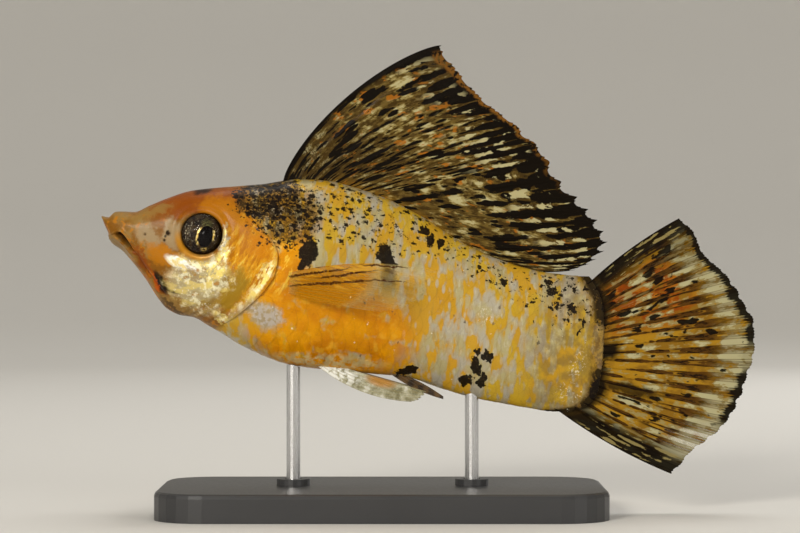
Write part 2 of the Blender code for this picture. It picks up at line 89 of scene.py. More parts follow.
# Body outline, section shape and the lines on it, as in the solids
body = dict(
    back=curve(((0, 0), (1.3, 0.1), (2.2, 1.3), (3.4, 1.7), (5.7, 2.2), (7.9, 3.9), (10.3, 5.7),
                (14.2, 8.2), (18.5, 9.9), (26.6, 12.6), (33, 15.1), (40, 16.2), (47.6, 15.75),
                (55.5, 14.1), (63.6, 11.4), (70, 10.1), (77, 9.6), (84, 10.3), (90, 11.6), (97, 13))),
    belly=curve(((0, 0), (1.1, -1.6), (2.3, -3.1), (2.9, -4.2), (5.1, -5.1), (6.8, -6.2), (10.3, -8.9),
                 (13.8, -12.1), (15.6, -13.3), (18, -13.8), (20.5, -13.6), (23.5, -14.4),
                 (31.7, -16.6), (38.4, -17.5), (47.5, -16.5), (55.5, -15.2), (61, -14.4),
                 (66.6, -14.9), (72.2, -15.1), (80, -14.7), (88.6, -14.1), (97, -14))),
    level=curve(((0, -0.2), (3, -1.2), (9, -1.2), (18, 0.2), (28, -1.2), (42, -2.2), (60, -1.8),
                 (80, -2.2), (97, -1.6))),
    rootWidth=curve([(math.sqrt(x), w) for x, w in (
        (0, 0), (0.6, 2.0), (2.5, 3.3), (5, 4.2), (8, 4.9), (12, 5.6), (18, 6.5), (24, 7.3), (30, 7.8),
        (37, 7.8), (46, 7.3), (56, 6.3), (66, 5.1), (75, 4.0), (83, 3.0), (90, 2.0), (97, 1.3))]),
    upperSquare=curve(((0, 2.2), (6, 2.5), (18, 2.5), (28, 2.1), (42, 1.8), (97, 1.9))),
    lowerSquare=curve(((0, 2.2), (12, 2.0), (24, 2.1), (42, 2.0), (62, 1.75), (97, 1.8))),
    gillEdge=curve(((-18, 22.5), (-15.1, 24.6), (-10.6, 28.7), (-5.2, 32.2), (-2.2, 33.1), (0.6, 32.9),
                    (3, 31.4), (6.3, 26.6), (8.7, 24.9), (11.4, 24.0), (16, 23.2))),
    cheekEdge=curve(((-13, 19.5), (-9.6, 22.1), (-6.3, 23.5), (-3.6, 23.9), (2, 23.7), (5, 22.5))),
    mouthLine=curve(((-1.0, -3.5), (2.4, -3.3), (3.3, -2.6), (4.1, -2.45), (5.0, -2.85), (5.9, -3.4),
                     (6.8, -4.15), (7.6, -4.8))),
    mouthOpening=curve(((-1, 0.05), (3.3, 0.05), (4.0, 0.8), (4.9, 1.2), (5.8, 1.05), (6.7, 0.75),
                        (7.5, 0.15))),
    jawGroove=curve(((-12, 16.0), (-10.6, 14.4), (-9.2, 12.6), (-7.2, 10.2), (-4.8, 7.9), (-3, 6.9))),
    stalkEnd=curve(((-16, 83.5), (-14.4, 86.6), (-13.3, 90.2), (-11.6, 93.3), (-8.5, 94.5),
                    (-5.2, 94.2), (1.2, 93.1), (6.5, 91.6), (10.1, 89.0), (11.6, 86.9), (14, 84))))


def section(x, angle):
    # a point of the body's surface, where angle 0 is the right side and a quarter turn the back
    level = np.clip(body["level"](x), body["belly"](x), body["back"](x))
    c, s = np.cos(angle), np.sin(angle)
    reach = np.where(s > 0, body["back"](x), body["belly"](x)) - level
    power = 2 / np.where(s > 0, body["upperSquare"](x), body["lowerSquare"](x))
    width = body["rootWidth"](np.sqrt(np.clip(x, 0, None)))
    return np.stack([x + 0 * angle, np.sign(c) * width * np.abs(c) ** power,
                     level + reach * np.abs(s) ** power], -1)


def surface(x, angle):
    # the section, narrowing towards the tail fin's foot
    points = section(x, angle)
    left = np.clip((np.interp(angle, turns, stalkTable) - x) / taper["length"], 0, 1)
    points[..., 1] *= taper["least"] + (1 - taper["least"]) * np.sin(left * math.pi / 2) ** taper["power"]
    return points


def normal(x, angle, step=0.02):
    # the outward direction there
    lengthwise = section(x + step, angle) - section(x - step, angle)
    around = section(x, angle + step) - section(x, angle - step)
    out = np.cross(lengthwise, around)
    out *= np.sign(np.sum(out * (section(x, angle) - center(x)), -1, keepdims=True) + 1e-12)
    return out / np.maximum(np.linalg.norm(out, axis=-1, keepdims=True), 1e-9)


def center(x):
    return np.stack([x, 0 * x, np.clip(body["level"](x), body["belly"](x), body["back"](x))], -1)


def meets(edge, angle, start):
    # where the line x = edge(z) crosses the body's surface at each angle
    x = start + 0 * angle
    for _ in range(30):
        x = (x + edge(section(x, angle)[..., 2])) / 2
    return x


def sideWidth(x, z):
    # half width of the body at height z
    level = body["level"](x)
    square = np.where(z > level, body["upperSquare"](x), body["lowerSquare"](x))
    reach = np.where(z > level, body["back"](x), body["belly"](x)) - level
    share = np.clip(np.abs((z - level) / reach), 0, 1)
    return body["rootWidth"](np.sqrt(x)) * (1 - share ** square) ** (1 / square)


def underside(x, y):
    # height of the belly at distance y from the middle
    square = body["lowerSquare"](x)
    share = np.clip(np.abs(y) / body["rootWidth"](np.sqrt(x)), 0, 1)
    return body["level"](x) + (body["belly"](x) - body["level"](x)) * (1 - share ** square) ** (1 / square)


# Rows and columns that the scales lie in. Rows are counted round the body from the middle of the belly
lie = dict(pitch=2.08, front=20.0, rows=26, measuredAt=45.0)
turns = np.linspace(-math.pi / 2, 1.5 * math.pi, 1441)
girth = np.concatenate([[0], np.cumsum(np.linalg.norm(
    np.diff(section(lie["measuredAt"] + 0 * turns, turns), axis=0), axis=1))])
girth *= lie["rows"] / girth[-1]


def rowAngle(row):
    return np.interp(row, girth, turns)


def angleRow(angle):
    return np.interp(angle, turns, girth)


gillTable = meets(body["gillEdge"], turns, 28.0)
stalkTable = meets(body["stalkEnd"], turns, 90.0)
taper = dict(length=12.0, power=0.9, least=0.28)

# The tail fin's rays come out of the stalk's end between these heights
tailFoot = dict(top=body["back"](87.4) - 0.4, bottom=body["belly"](86.6) + 0.35)


def gridMesh(name, columns, rows):
    # a flat grid with each vertex's column and row
    bm = bmesh.new()
    bmesh.ops.create_grid(bm, x_segments=columns, y_segments=rows, size=1)
    mesh = bpy.data.meshes.new(name)
    bm.to_mesh(mesh)
    bm.free()
    flat = readPoints(mesh)
    i = np.rint((flat[:, 0] + 1) / 2 * columns).astype(int)
    j = np.rint((flat[:, 1] + 1) / 2 * rows).astype(int)
    return mesh, i, j


def readPoints(mesh):
    flat = np.zeros(len(mesh.vertices) * 3)
    mesh.vertices.foreach_get("co", flat)
    return flat.reshape(-1, 3)


def setPoints(mesh, points):
    mesh.vertices.foreach_set("co", np.ascontiguousarray(points, float).ravel())
    mesh.update()


def addMap(mesh, name, places):
    # a UV map from one place for each vertex
    corners = np.zeros(len(mesh.loops), int)
    mesh.loops.foreach_get("vertex_index", corners)
    made = mesh.uv_layers.new(name=name, do_init=False)
    made.uv.foreach_set("vector", places[corners].ravel())


def addValues(mesh, name, values):
    made = mesh.attributes.new(name, "FLOAT", "POINT")
    made.data.foreach_set("value", np.asarray(values, float))


def clean(mesh, distance=2e-6):
    # merges what meets and points the faces outwards
    bm = bmesh.new()
    bm.from_mesh(mesh)
    bmesh.ops.remove_doubles(bm, verts=bm.verts, dist=distance)
    bmesh.ops.dissolve_degenerate(bm, dist=distance / 2, edges=bm.edges)
    bmesh.ops.recalc_face_normals(bm, faces=bm.faces)
    bm.to_mesh(mesh)
    bm.free()


def shown(name, mesh, finish, nodes=(), sharp=45):
    # a finished piece that rides on the model and may stand for some of its nodes
    mesh.name = name
    mesh.shade_smooth()
    mesh.set_sharp_from_angle(angle=math.radians(sharp))
    mesh.materials.clear()
    mesh.materials.append(finish.material)
    piece = bpy.data.objects.new(name, mesh)
    bpy.context.scene.collection.objects.link(piece)
    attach(piece, "root")
    if nodes:
        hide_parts(*nodes)
    return piece


class Wire:
    # a socket that adds its own Math nodes when it meets an operator
    def __init__(self, finish, socket):
        self.finish = finish
        self.socket = socket

    def calc(self, operation, *terms):
        return self.finish.calc(operation, *terms)

    def __add__(self, other):
        return self.calc("ADD", self, other)

    __radd__ = __add__

    def __sub__(self, other):
        return self.calc("SUBTRACT", self, other)

    def __rsub__(self, other):
        return self.calc("SUBTRACT", other, self)

    def __mul__(self, other):
        return self.calc("MULTIPLY", self, other)

    __rmul__ = __mul__

    def __truediv__(self, other):
        return self.calc("DIVIDE", self, other)

    def __pow__(self, other):
        return self.calc("POWER", self, other)

    def floor(self):
        return self.calc("FLOOR", self)

    def fract(self):
        return self.calc("FRACT", self)

    def size(self):
        return self.calc("ABSOLUTE", self)

    def most(self, other):
        return self.calc("MAXIMUM", self, other)

    def least(self, other):
        return self.calc("MINIMUM", self, other)

    def between(self, low, high):
        # rises smoothly from 0 at low to 1 at high
        return self.finish.node("ShaderNodeMapRange", dict(interpolation_type="SMOOTHSTEP"),
                                {"Value": self, "From Min": low, "From Max": high})


class Finish:
    # one material, whose node() adds any node and gives its output
    def __init__(self, name, fixed):
        self.material = bpy.data.materials.new(name)
        self.material.use_nodes = True
        self.tree = self.material.node_tree
        self.shader = self.tree.nodes["Principled BSDF"]
        for socket, value in fixed.items():
            self.feed(self.shader.inputs[socket], value)

    def feed(self, socket, value):
        if isinstance(value, Wire):
            self.tree.links.new(value.socket, socket)
        elif isinstance(value, tuple) and socket.type == "RGBA":
            socket.default_value = (*value[:3], 1)
        else:
            socket.default_value = value

    def node(self, kind, settings=None, values=None, output=0):
        made = self.tree.nodes.new(kind)
        for key, value in (settings or {}).items():
            setattr(made, key, value)
        for key, value in (values or {}).items():
            self.feed(made.inputs[key], value)
        return Wire(self, made.outputs[output])

    def give(self, **sockets):
        # links values to the shader's sockets, named without their spaces
        for name, value in sockets.items():
            match = [s for s in self.shader.inputs if s.name.replace(" ", "") == name][0]
            self.feed(match, value)

    def mix(self, factor, first, second):
        return self.node("ShaderNodeMix", dict(data_type="RGBA"), {0: factor, 6: first, 7: second}, 2)

    def calc(self, operation, *terms):
        return self.node("ShaderNodeMath", dict(operation=operation), dict(enumerate(terms)))

    def vector(self, operation, first, second, output=0):
        return self.node("ShaderNodeVectorMath", dict(operation=operation), {0: first, 1: second}, output)

    def join(self, x, y, z=0.0):
        return self.node("ShaderNodeCombineXYZ", {}, {0: x, 1: y, 2: z})

    def split(self, vector):
        made = self.tree.nodes.new("ShaderNodeSeparateXYZ")
        self.feed(made.inputs[0], vector)
        return [Wire(self, made.outputs[k]) for k in range(3)]

    def noise(self, place, size, detail=2.0, rough=0.5, output=0):
        return self.node("ShaderNodeTexNoise", {}, {
            "Vector": place, "Scale": 1 / size, "Detail": detail, "Roughness": rough}, output)

    def cells(self, place, size, random=1.0, output=0):
        return self.node("ShaderNodeTexVoronoi", {}, {
            "Vector": place, "Scale": 1 / size, "Randomness": random}, output)

    def chance(self, place):
        return self.node("ShaderNodeTexWhiteNoise", dict(noise_dimensions="3D"), {"Vector": place})

    def stored(self, name):
        return self.node("ShaderNodeAttribute", dict(attribute_name=name), {}, 2)

    def map(self, name):
        return self.split(self.node("ShaderNodeUVMap", dict(uv_map=name)))

    def bump(self, height, strength, distance):
        return self.node("ShaderNodeBump", {}, {"Strength": strength, "Distance": distance, "Height": height})

    def place(self):
        # the point in the fish's own frame
        coords = self.node("ShaderNodeTexCoord", {}, {}, 3)
        mm = fish["mm"]
        return self.node("ShaderNodeMapping", dict(vector_type="TEXTURE"), {
            "Vector": coords, "Location": fish["snout"], "Rotation": (0, fish["pitch"], 0),
            "Scale": (mm, mm, mm)})

    def turned(self, place, degrees):
        # the same point in axes that lean back by this angle
        return self.node("ShaderNodeMapping", dict(vector_type="TEXTURE"), {
            "Vector": place, "Rotation": (0, math.radians(degrees), 0)})

    def patch(self, place, x, z, halfX, halfZ, tilt=0.0, soft=0.3):
        # 1 inside an ellipse on the side of the fish, fading out across its edge; tilt lifts its rear
        c, s = math.cos(math.radians(tilt)), math.sin(math.radians(tilt))
        away = self.vector("SUBTRACT", place, (x, 0, z))
        along = self.vector("DOT_PRODUCT", away, (c / halfX, 0, s / halfX), 1)
        across = self.vector("DOT_PRODUCT", away, (-s / halfZ, 0, c / halfZ), 1)
        squared = self.calc("MULTIPLY_ADD", along, along, across * across)
        return squared.between((1 + soft) ** 2, (1 - soft) ** 2)

    def spot(self, place, x, y, halfX, halfY, soft=0.3):
        # 1 inside an ellipse on a flat chart, fading out across its edge
        away = self.vector("SUBTRACT", place, (x, y, 0))
        away = self.vector("MULTIPLY", away, (1 / halfX, 1 / halfY, 0))
        return self.length(away).between(1 + soft, 1 - soft)

    def length(self, vector):
        return self.vector("LENGTH", vector, (0, 0, 0), 1)

    def scaled(self, place, x, y, z):
        # a pattern on the scaled place is drawn out along an axis whose factor is small
        return self.vector("MULTIPLY", place, (x, y, z))

    def stirred(self, place, source, reach, size, detail, rough):
        # the place moved about by noise, along the fish and up
        moved = self.vector("SUBTRACT", self.noise(source, size, detail, rough, 1), (0.5, 0.5, 0.5))
        return self.vector("ADD", place, self.scaled(moved, reach, 0, reach))

    def scattered(self, place, size=1.0, random=1.0):
        # the distance to the nearest of many loose points, and two chances of that point's own
        luck, amount, _ = self.split(self.cells(place, size, random, 1))
        return self.cells(place, size, random), luck, amount


def greatest(masks):
    # the greatest of several masks at each point
    masks = iter(masks)
    found = next(masks)
    for mask in masks:
        found = found.most(mask)
    return found


def footTint(finish, crust):
    # the colour of the tail fin's foot and of the flesh that runs out over it
    return finish.mix(crust.between(0.42, 0.58), finTints["foot"], finTints["footGold"])


# Colours of the skin and eyes, as the photo shows them
tints = dict(
    silver=(0.47, 0.40, 0.20), lilac=(0.46, 0.41, 0.31), gold=(0.52, 0.28, 0.004),
    yellow=(0.53, 0.33, 0.012), orange=(0.72, 0.30, 0.001), deep=(0.58, 0.20, 0.001),
    amber=(0.22, 0.085, 0.006), tan=(0.28, 0.16, 0.04), red=(0.25, 0.055, 0.002), flame=(0.46, 0.16, 0.002),
    white=(0.97, 0.96, 0.90), paleGold=(0.80, 0.62, 0.18), bright=(0.92, 0.74, 0.20),
    cheek=(0.50, 0.42, 0.23), olive=(0.30, 0.17, 0.010), dark=(0.007, 0.004, 0.002),
    brown=(0.065, 0.032, 0.009), grey=(0.35, 0.25, 0.13), violet=(0.080, 0.060, 0.040),
    lip=(0.25, 0.17, 0.07), throat=(0.02, 0.007, 0.003), scarlet=(0.50, 0.085, 0.004),
    richGold=(0.62, 0.29, 0.004), mottle=(0.33, 0.21, 0.05), slit=(0.50, 0.44, 0.33),
    paleSilver=(0.60, 0.56, 0.38), dusk=(0.19, 0.125, 0.034), lightOrange=(0.72, 0.36, 0.02),
    hem=(0.58, 0.44, 0.20), sheen=(0.40, 0.31, 0.18), lilacSheen=(0.50, 0.44, 0.38),
    sparkle=(0.90, 0.84, 0.74), warm=(0.45, 0.21, 0.012), wake=(0.88, 0.58, 0.06),
    coverDeep=(0.46, 0.16, 0.003), coverGold=(0.66, 0.29, 0.006), gilt=(0.80, 0.54, 0.07),
    streak=(0.40, 0.29, 0.11), cream=(0.93, 0.87, 0.60), orbit=(0.50, 0.21, 0.008),
    nape=(0.11, 0.058, 0.012), smudge=(0.035, 0.020, 0.006), softBlack=(0.040, 0.026, 0.010),
    glint=(0.98, 0.95, 0.78), irisBlack=(0.005, 0.002, 0.001), irisBrown=(0.036, 0.019, 0.005),
    fleck=(0.55, 0.48, 0.32), greenFleck=(0.20, 0.20, 0.05), irisEdge=(0.022, 0.012, 0.004),
    ringGold=(0.80, 0.52, 0.08), ringPale=(0.95, 0.88, 0.50), pupil=(0.004, 0.003, 0.003))

finTints = dict(
    cream=(0.30, 0.235, 0.085), pale=(0.44, 0.39, 0.20), dark=(0.006, 0.004, 0.002),
    brown=(0.050, 0.028, 0.006), tan=(0.135, 0.085, 0.018), olive=(0.19, 0.135, 0.035),
    orange=(0.36, 0.12, 0.008), red=(0.24, 0.045, 0.003), gold=(0.38, 0.20, 0.012),
    ochre=(0.24, 0.12, 0.010), margin=(0.18, 0.075, 0.011), cell=(0.44, 0.40, 0.22),
    foot=(0.13, 0.062, 0.009), footGold=(0.33, 0.185, 0.02), soot=(0.010, 0.006, 0.002),
    shade=(0.050, 0.022, 0.004), rayDark=(0.018, 0.008, 0.002), rayBrown=(0.085, 0.036, 0.005),
    clearEnd=(0.50, 0.40, 0.15), amber=(0.50, 0.205, 0.003), sheen=(0.66, 0.36, 0.03),
    bar=(0.07, 0.036, 0.004), ink=(0.050, 0.012, 0.001), spark=(0.98, 0.90, 0.55),
    pearlDark=(0.26, 0.24, 0.12), pearl=(0.52, 0.50, 0.34), pearlPale=(0.80, 0.78, 0.66),
    blush=(0.55, 0.24, 0.01), lumps=(0.86, 0.86, 0.80), bellyRay=(0.30, 0.22, 0.09),
    rodDark=(0.03, 0.017, 0.008), rodBrown=(0.12, 0.065, 0.02))

# Soft patches of colour on the head, a few of them painted highlights and painted shade: x, z, half sizes,
# tilt, softness, colour, strength
headPatches = (
    (15.5, 6.8, 8.5, 2.6, 24, 0.5, "red", 0.9), (9.0, 3.0, 3.2, 0.9, 30, 0.5, "tan", 0.8),
    (20.6, 6.0, 3.2, 2.4, 10, 0.5, "flame", 0.8), (27.3, 4.6, 4.2, 3.0, 0, 0.5, "flame", 0.6),
    (29.6, 1.8, 2.0, 1.8, 0, 0.5, "deep", 0.8),
    (9.6, -1.5, 2.4, 1.6, -20, 0.5, "grey", 0.9), (13.5, 0.0, 1.6, 2.3, 10, 0.5, "grey", 0.9),
    (11.4, 0.4, 0.8, 1.6, 10, 0.5, "amber", 0.7), (12.4, -4.0, 2.4, 1.3, -15, 0.5, "flame", 0.85),
    (18.3, -3.1, 3.4, 0.8, 8, 0.5, "flame", 0.8), (21.0, -5.4, 4.8, 3.2, -10, 0.4, "cheek", 0.95),
    # the white patches below the eye are silvery skin with a painted highlight on it
    (19.5, -9.2, 4.6, 2.4, -20, 0.5, "cheek", 0.85), (15.8, -4.6, 2.2, 0.8, -12, 0.35, "white", 1.0),
    (18.6, -5.0, 0.9, 0.4, -6, 0.5, "white", 0.9), (19.0, -6.3, 2.6, 0.9, -6, 0.5, "grey", 0.8),
    # painted highlight on gold skin by the cheek ridge
    (23.2, -3.6, 1.1, 3.8, -8, 0.5, "bright", 1.0),
    (22.9, 1.6, 0.5, 2.5, 4, 0.5, "lilac", 0.9), (26.8, -6.4, 1.9, 3.2, -16, 0.5, "olive", 0.95),
    (24.0, -10.2, 3.0, 1.1, 20, 0.5, "olive", 0.8),
    # the first patch: painted highlight on the gill cover's gold rim
    (31.2, -3.9, 1.0, 3.6, -18, 0.5, "bright", 0.95), (29.6, -9.6, 1.2, 2.6, -42, 0.6, "cheek", 0.6),
    (27.2, -12.4, 2.6, 0.7, -4, 0.5, "paleGold", 0.9),
    (18.0, -12.4, 3.8, 1.0, -8, 0.5, "tan", 0.8), (10.8, -7.2, 4.8, 0.8, -43, 0.5, "red", 0.95),
    (11.9, -8.6, 1.6, 0.45, -47, 0.5, "flame", 0.8), (13.5, -8.9, 2.1, 0.75, -48, 0.4, "dark", 0.97),
    (15.8, -9.8, 1.4, 0.25, -6, 0.5, "dark", 0.8), (4.6, -4.6, 2.3, 0.8, -30, 0.5, "lip", 0.8),
    # the three small dark spots at the nostrils are painted shade in their pits
    (12.9, 0.0, 0.30, 0.36, 30, 0.5, "dark", 0.9), (12.6, -0.6, 0.16, 0.26, 0, 0.5, "dark", 0.8),
    (12.5, -1.4, 0.18, 0.26, 0, 0.5, "dark", 0.8), (16.8, -12.9, 2.6, 0.45, -21, 0.5, "brown", 0.8),
    (12.6, -9.0, 1.6, 0.32, -47, 0.5, "scarlet", 0.9))

# Black blotches on the flanks: x, z, half sizes, tilt. The right side's differ from the left's
blotches = dict(
    left=((37.9, 3.1, 1.5, 2.5, 0), (37.6, 0.4, 0.9, 1.0, 0), (51.2, 5.8, 1.2, 1.7, 10),
          (52.3, 4.6, 1.5, 0.7, 0), (58.3, 10.2, 0.6, 1.3, 0), (57.0, 11.6, 0.8, 0.6, 0),
          (60.3, 10.2, 0.6, 0.5, 0), (73.3, -7.4, 0.9, 1.2, 10), (71.9, -9.6, 0.8, 1.7, 24),
          (70.7, -12.6, 1.3, 0.9, 20), (73.5, -11.8, 0.7, 1.2, 0), (71.3, -7.0, 0.6, 0.6, 0),
          (81.7, 6.7, 1.0, 0.9, 30), (80.8, 8.2, 0.7, 0.7, 0), (83.3, 4.5, 0.35, 0.8, 0),
          (86.0, 4.9, 0.75, 0.8, 0), (85.5, 8.3, 0.4, 0.8, 0), (86.1, 2.6, 0.35, 0.5, 0),
          (88.8, 2.6, 0.45, 1.0, 10), (88.3, 0.6, 0.3, 0.9, 0), (73.1, 6.3, 0.7, 0.5, 0),
          (87.7, 8.5, 0.5, 0.5, 0), (94.3, -0.6, 0.9, 1.6, 0), (93.6, -8.0, 0.8, 2.4, 0),
          (91.6, 6.0, 0.5, 0.8, 0), (69.0, 7.2, 0.4, 0.25, 0), (60.2, -13.4, 1.9, 0.7, 24)),
    right=((42.3, 5.6, 1.3, 2.0, 0), (43.4, 3.0, 0.9, 0.9, 0), (55.9, 1.6, 1.1, 1.4, 10),
           (62.0, 7.9, 1.3, 0.8, 0), (63.2, 6.6, 0.6, 0.7, 0), (66.8, -9.4, 1.0, 1.4, 20),
           (68.2, -11.2, 0.8, 0.8, 0), (77.4, 5.2, 0.9, 1.1, 10), (79.0, 3.3, 0.5, 0.8, 0),
           (84.6, -5.4, 0.7, 1.2, 0), (88.0, 6.4, 0.6, 0.9, 0), (94.0, 3.0, 0.8, 1.4, 0),
           (93.9, -6.4, 0.8, 2.0, 0), (48.0, -13.2, 0.9, 0.6, 0)))

# Where freckles crowd: x, z, half sizes, tilt, softness, strength
freckleCrowds = (
    (28.5, 10.6, 6.0, 4.0, 22, 0.4, 1.0), (33.0, 8.2, 6.5, 5.6, 6, 0.5, 0.78),
    (43.0, 11.0, 12.0, 5.0, -4, 0.5, 0.50),
    (64.0, 9.6, 22.0, 2.6, -16, 0.5, 0.36), (83.5, 6.0, 7.0, 4.2, -8, 0.6, 0.40))


def skinFinish():
    # wet skin of gold patches on silver and lilac, an orange belly, a black-freckled nape and black blotches
    finish = Finish("wet_skin",
                    {"IOR": 1.33, "Specular IOR Level": 0.15, "Coat Roughness": 0.16, "Coat IOR": 1.33})
    place = finish.place()
    x, y, z = finish.split(place)
    flat = finish.join(x, 0.0, z)
    frayed = finish.stirred(flat, place, 2.72, 1.5, 2, 0.6)
    gentle = finish.stirred(flat, place, 1.12, 1.5, 2, 0.6)
    u, v, _ = finish.map("lie")
    row = v.floor()
    column = u + (row * 0.5).fract()
    cell = finish.join(column.floor(), row)
    luck = finish.chance(cell)

    # gold patches stand upright, on silver that turns lilac
    stood = finish.turned(place, -11)
    upright = finish.noise(finish.scaled(stood, 0.52, 0.3, 0.19), 1.0, 2, 0.6)
    broad = finish.noise(place, 9.0, 1)
    across = 1 - ((column.fract() - 0.5).size() * 2) ** 2
    goldLevel = upright * 0.85 + broad * 0.30 + across * 0.04 + luck * 0.04
    goldLevel = goldLevel + finish.patch(place, 48.0, 9.5, 17.0, 5.5, -8, 0.6) * 0.035
    gold = goldLevel.between(0.616, 0.662)
    ground = finish.mix(finish.noise(place, 3.2, 2).between(0.42, 0.6), tints["silver"], tints["lilac"])
    goldTint = finish.mix(finish.noise(place, 4.0, 1).between(0.4, 0.62), tints["gold"], tints["yellow"])
    goldTint = finish.mix(finish.patch(gentle, 60.0, -4.5, 11.0, 8.0, 0, 0.6) * 0.6, goldTint,
                          tints["richGold"])
    colour = finish.mix(goldLevel.between(0.52, 0.64) * 0.42, ground, goldTint)
    colour = finish.mix(gold * 0.9, colour, goldTint)
    mottle = finish.noise(finish.scaled(stood, 1.5, 0.5, 0.4), 1.0, 3, 0.65)
    colour = finish.mix(mottle.between(0.55, 0.68) * 0.30, colour, tints["mottle"])
    slits = 0.23 - finish.cells(finish.scaled(stood, 0.72, 0.3, 0.28), 1.0)
    slits = slits.between(-0.05, 0.07) * finish.patch(gentle, 62.0, -4.0, 14.0, 9.0, 0, 0.5)
    colour = finish.mix(slits * 0.8, colour, tints["slit"])
    colour = finish.mix(mottle.between(0.44, 0.34) * (1 - gold) * 0.5, colour, tints["paleSilver"])
    dusk = (finish.patch(place, 91.0, -1.0, 9.0, 14.0, 0, 0.6)
            * finish.noise(place, 1.6, 2).between(0.30, 0.62))
    colour = finish.mix(dusk * 0.66, colour, tints["dusk"])
    rim = finish.stored("rim")
    colour = finish.mix(rim.between(0.925, 0.985) * 0.10, colour, tints["brown"])

    # orange belly and throat, with gold between it and the flank
    belly = finish.patch(gentle, 45.0, -9.6, 14.5, 8.6, 4, 0.25)
    belly = belly.most(finish.patch(gentle, 34.5, -2.0, 3.6, 7.5, -8, 0.4))
    belly = belly * (1 - finish.patch(gentle, 33.2, -10.2, 2.4, 2.2, -30, 0.5) * 0.9)
    bellyTint = finish.mix(finish.noise(place, 5.0, 3).between(0.38, 0.64), tints["deep"], tints["orange"])
    bellyTint = finish.mix(finish.noise(place, 2.1, 2).between(0.56, 0.70) * 0.7, bellyTint,
                           tints["lightOrange"])
    bellyTint = finish.mix(rim.between(0.925, 0.985) * 0.08, bellyTint, tints["brown"])
    colour = finish.mix(belly * finish.noise(place, 2.4, 2).between(0.24, 0.46), colour, bellyTint)
    grit = finish.noise(place, 0.42, 3, 0.75)
    hem = (finish.patch(gentle, 45.5, -15.3, 8.5, 1.2, 11, 0.5)
           * finish.noise(place, 1.3, 3, 0.6).between(0.40, 0.54))
    colour = finish.mix(hem * 0.85, colour, tints["hem"])
    sheenTint = finish.mix(finish.noise(place, 0.9, 2).between(0.42, 0.56), tints["sheen"],
                           tints["lilacSheen"])
    sheenTint = finish.mix(grit.between(0.64, 0.70), sheenTint, tints["sparkle"])
    torn = finish.stirred(flat, place, 4.0, 1.5, 3, 0.65)
    colour = finish.mix(finish.patch(torn, 33.2, -9.8, 3.4, 1.7, -8, 0.4) * 0.9, colour, sheenTint)
    warm = finish.patch(gentle, 29.5, 8.0, 8.0, 5.0, 10, 0.5)
    colour = finish.mix(warm * finish.noise(place, 2.0, 2).between(0.40, 0.55) * 0.9, colour, tints["warm"])

    # head: amber with its soft patches
    head = finish.stored("head")
    face = finish.mix(finish.noise(place, 2.6, 3).between(0.38, 0.62), tints["amber"], tints["tan"])
    face = finish.mix(finish.noise(place, 1.3, 3, 0.6).between(0.54, 0.66) * 0.8, face, tints["flame"])
    gilt = finish.noise(finish.scaled(finish.turned(place, 16), 1.1, 0.5, 0.32), 1.0, 3, 0.65)
    wake = finish.patch(gentle, 34.8, 0.3, 2.0, 5.0, -8, 0.5) * gilt.between(0.50, 0.60)
    colour = finish.mix(wake * 0.75, colour, tints["wake"])
    cover = finish.patch(torn, 28.6, -1.0, 4.8, 8.6, 0, 0.45)
    face = finish.mix(cover, face,
                      finish.mix(gilt.between(0.38, 0.52), tints["coverDeep"], tints["coverGold"]))
    face = finish.mix(cover * gilt.between(0.54, 0.62) * 0.85, face, tints["gilt"])
    shining = []
    for px, pz, halfX, halfZ, tilt, soft, tint, strength in headPatches:
        where = gentle if tint in ("dark", "white") else torn
        mask = finish.patch(where, px, pz, halfX, halfZ, tilt, soft) * strength
        if tint == "bright":
            mask = mask * gilt.between(0.38, 0.52)
        face = finish.mix(mask, face, tints[tint])
        if tint in ("white", "paleGold", "bright", "cheek", "lilac"):
            shining.append(mask)
    shine = greatest(shining)
    fromEye = finish.vector("SUBTRACT", flat, (18.7, 0, 1.35))
    eyeX, _, eyeZ = finish.split(fromEye)
    eyeAway = finish.length(fromEye)
    ringed = finish.join(eyeAway * 0.9, finish.calc("ARCTAN2", eyeZ, eyeX) * 4.5 + y * 0.3)
    streaks = finish.noise(ringed, 1.3, 3, 0.58)
    face = finish.mix(streaks.between(0.47, 0.60) * shine * 0.85, face, tints["paleGold"])
    face = finish.mix(streaks.between(0.48, 0.36) * shine * 0.75, face, tints["streak"])
    face = finish.mix(streaks.between(0.41, 0.33) * shine * 0.6, face, tints["flame"])
    face = finish.mix(finish.noise(place, 1.3, 3, 0.6).between(0.49, 0.63) * shine * 0.85, face,
                      tints["cream"])
    # painted glints on the shining patches
    face = finish.mix(grit.between(0.62, 0.68) * shine * 0.8, face, tints["white"])
    orbit = eyeAway.between(5.2, 4.5) * finish.patch(gentle, 17.2, -2.0, 3.6, 2.6, -8, 0.5)
    face = finish.mix(orbit * 0.85, face, tints["orbit"])
    crown = finish.patch(gentle, 16.7, 8.9, 1.5, 0.6, 22, 0.5) * y.between(0.6, -0.6)
    face = finish.mix(crown * 0.9, face, tints["dark"])
    colour = finish.mix(head, colour, face)

    # black freckles in slanting rows, crowded on the nape and sparse along the upper flank
    crowd = greatest(finish.patch(gentle, *where) * share for *where, share in freckleCrowds)
    slanted = finish.node("ShaderNodeMapping", {}, {
        "Vector": place, "Rotation": (0, math.radians(40), 0), "Scale": (1.0, 0.9, 1.35)})
    dotPlace = finish.stirred(slanted, place, 1.5, 0.45, 2, 0.6)

    def freckled(size, least, share):
        spacing, dotLuck, dotSize = finish.scattered(dotPlace, size, 0.95)
        radius = dotSize * 0.22 + crowd * share + least
        inside = (radius - spacing + grit * 0.10 - 0.05).between(-0.05, 0.07)
        return inside * (crowd * 1.35 - dotLuck).between(-0.02, 0.06)

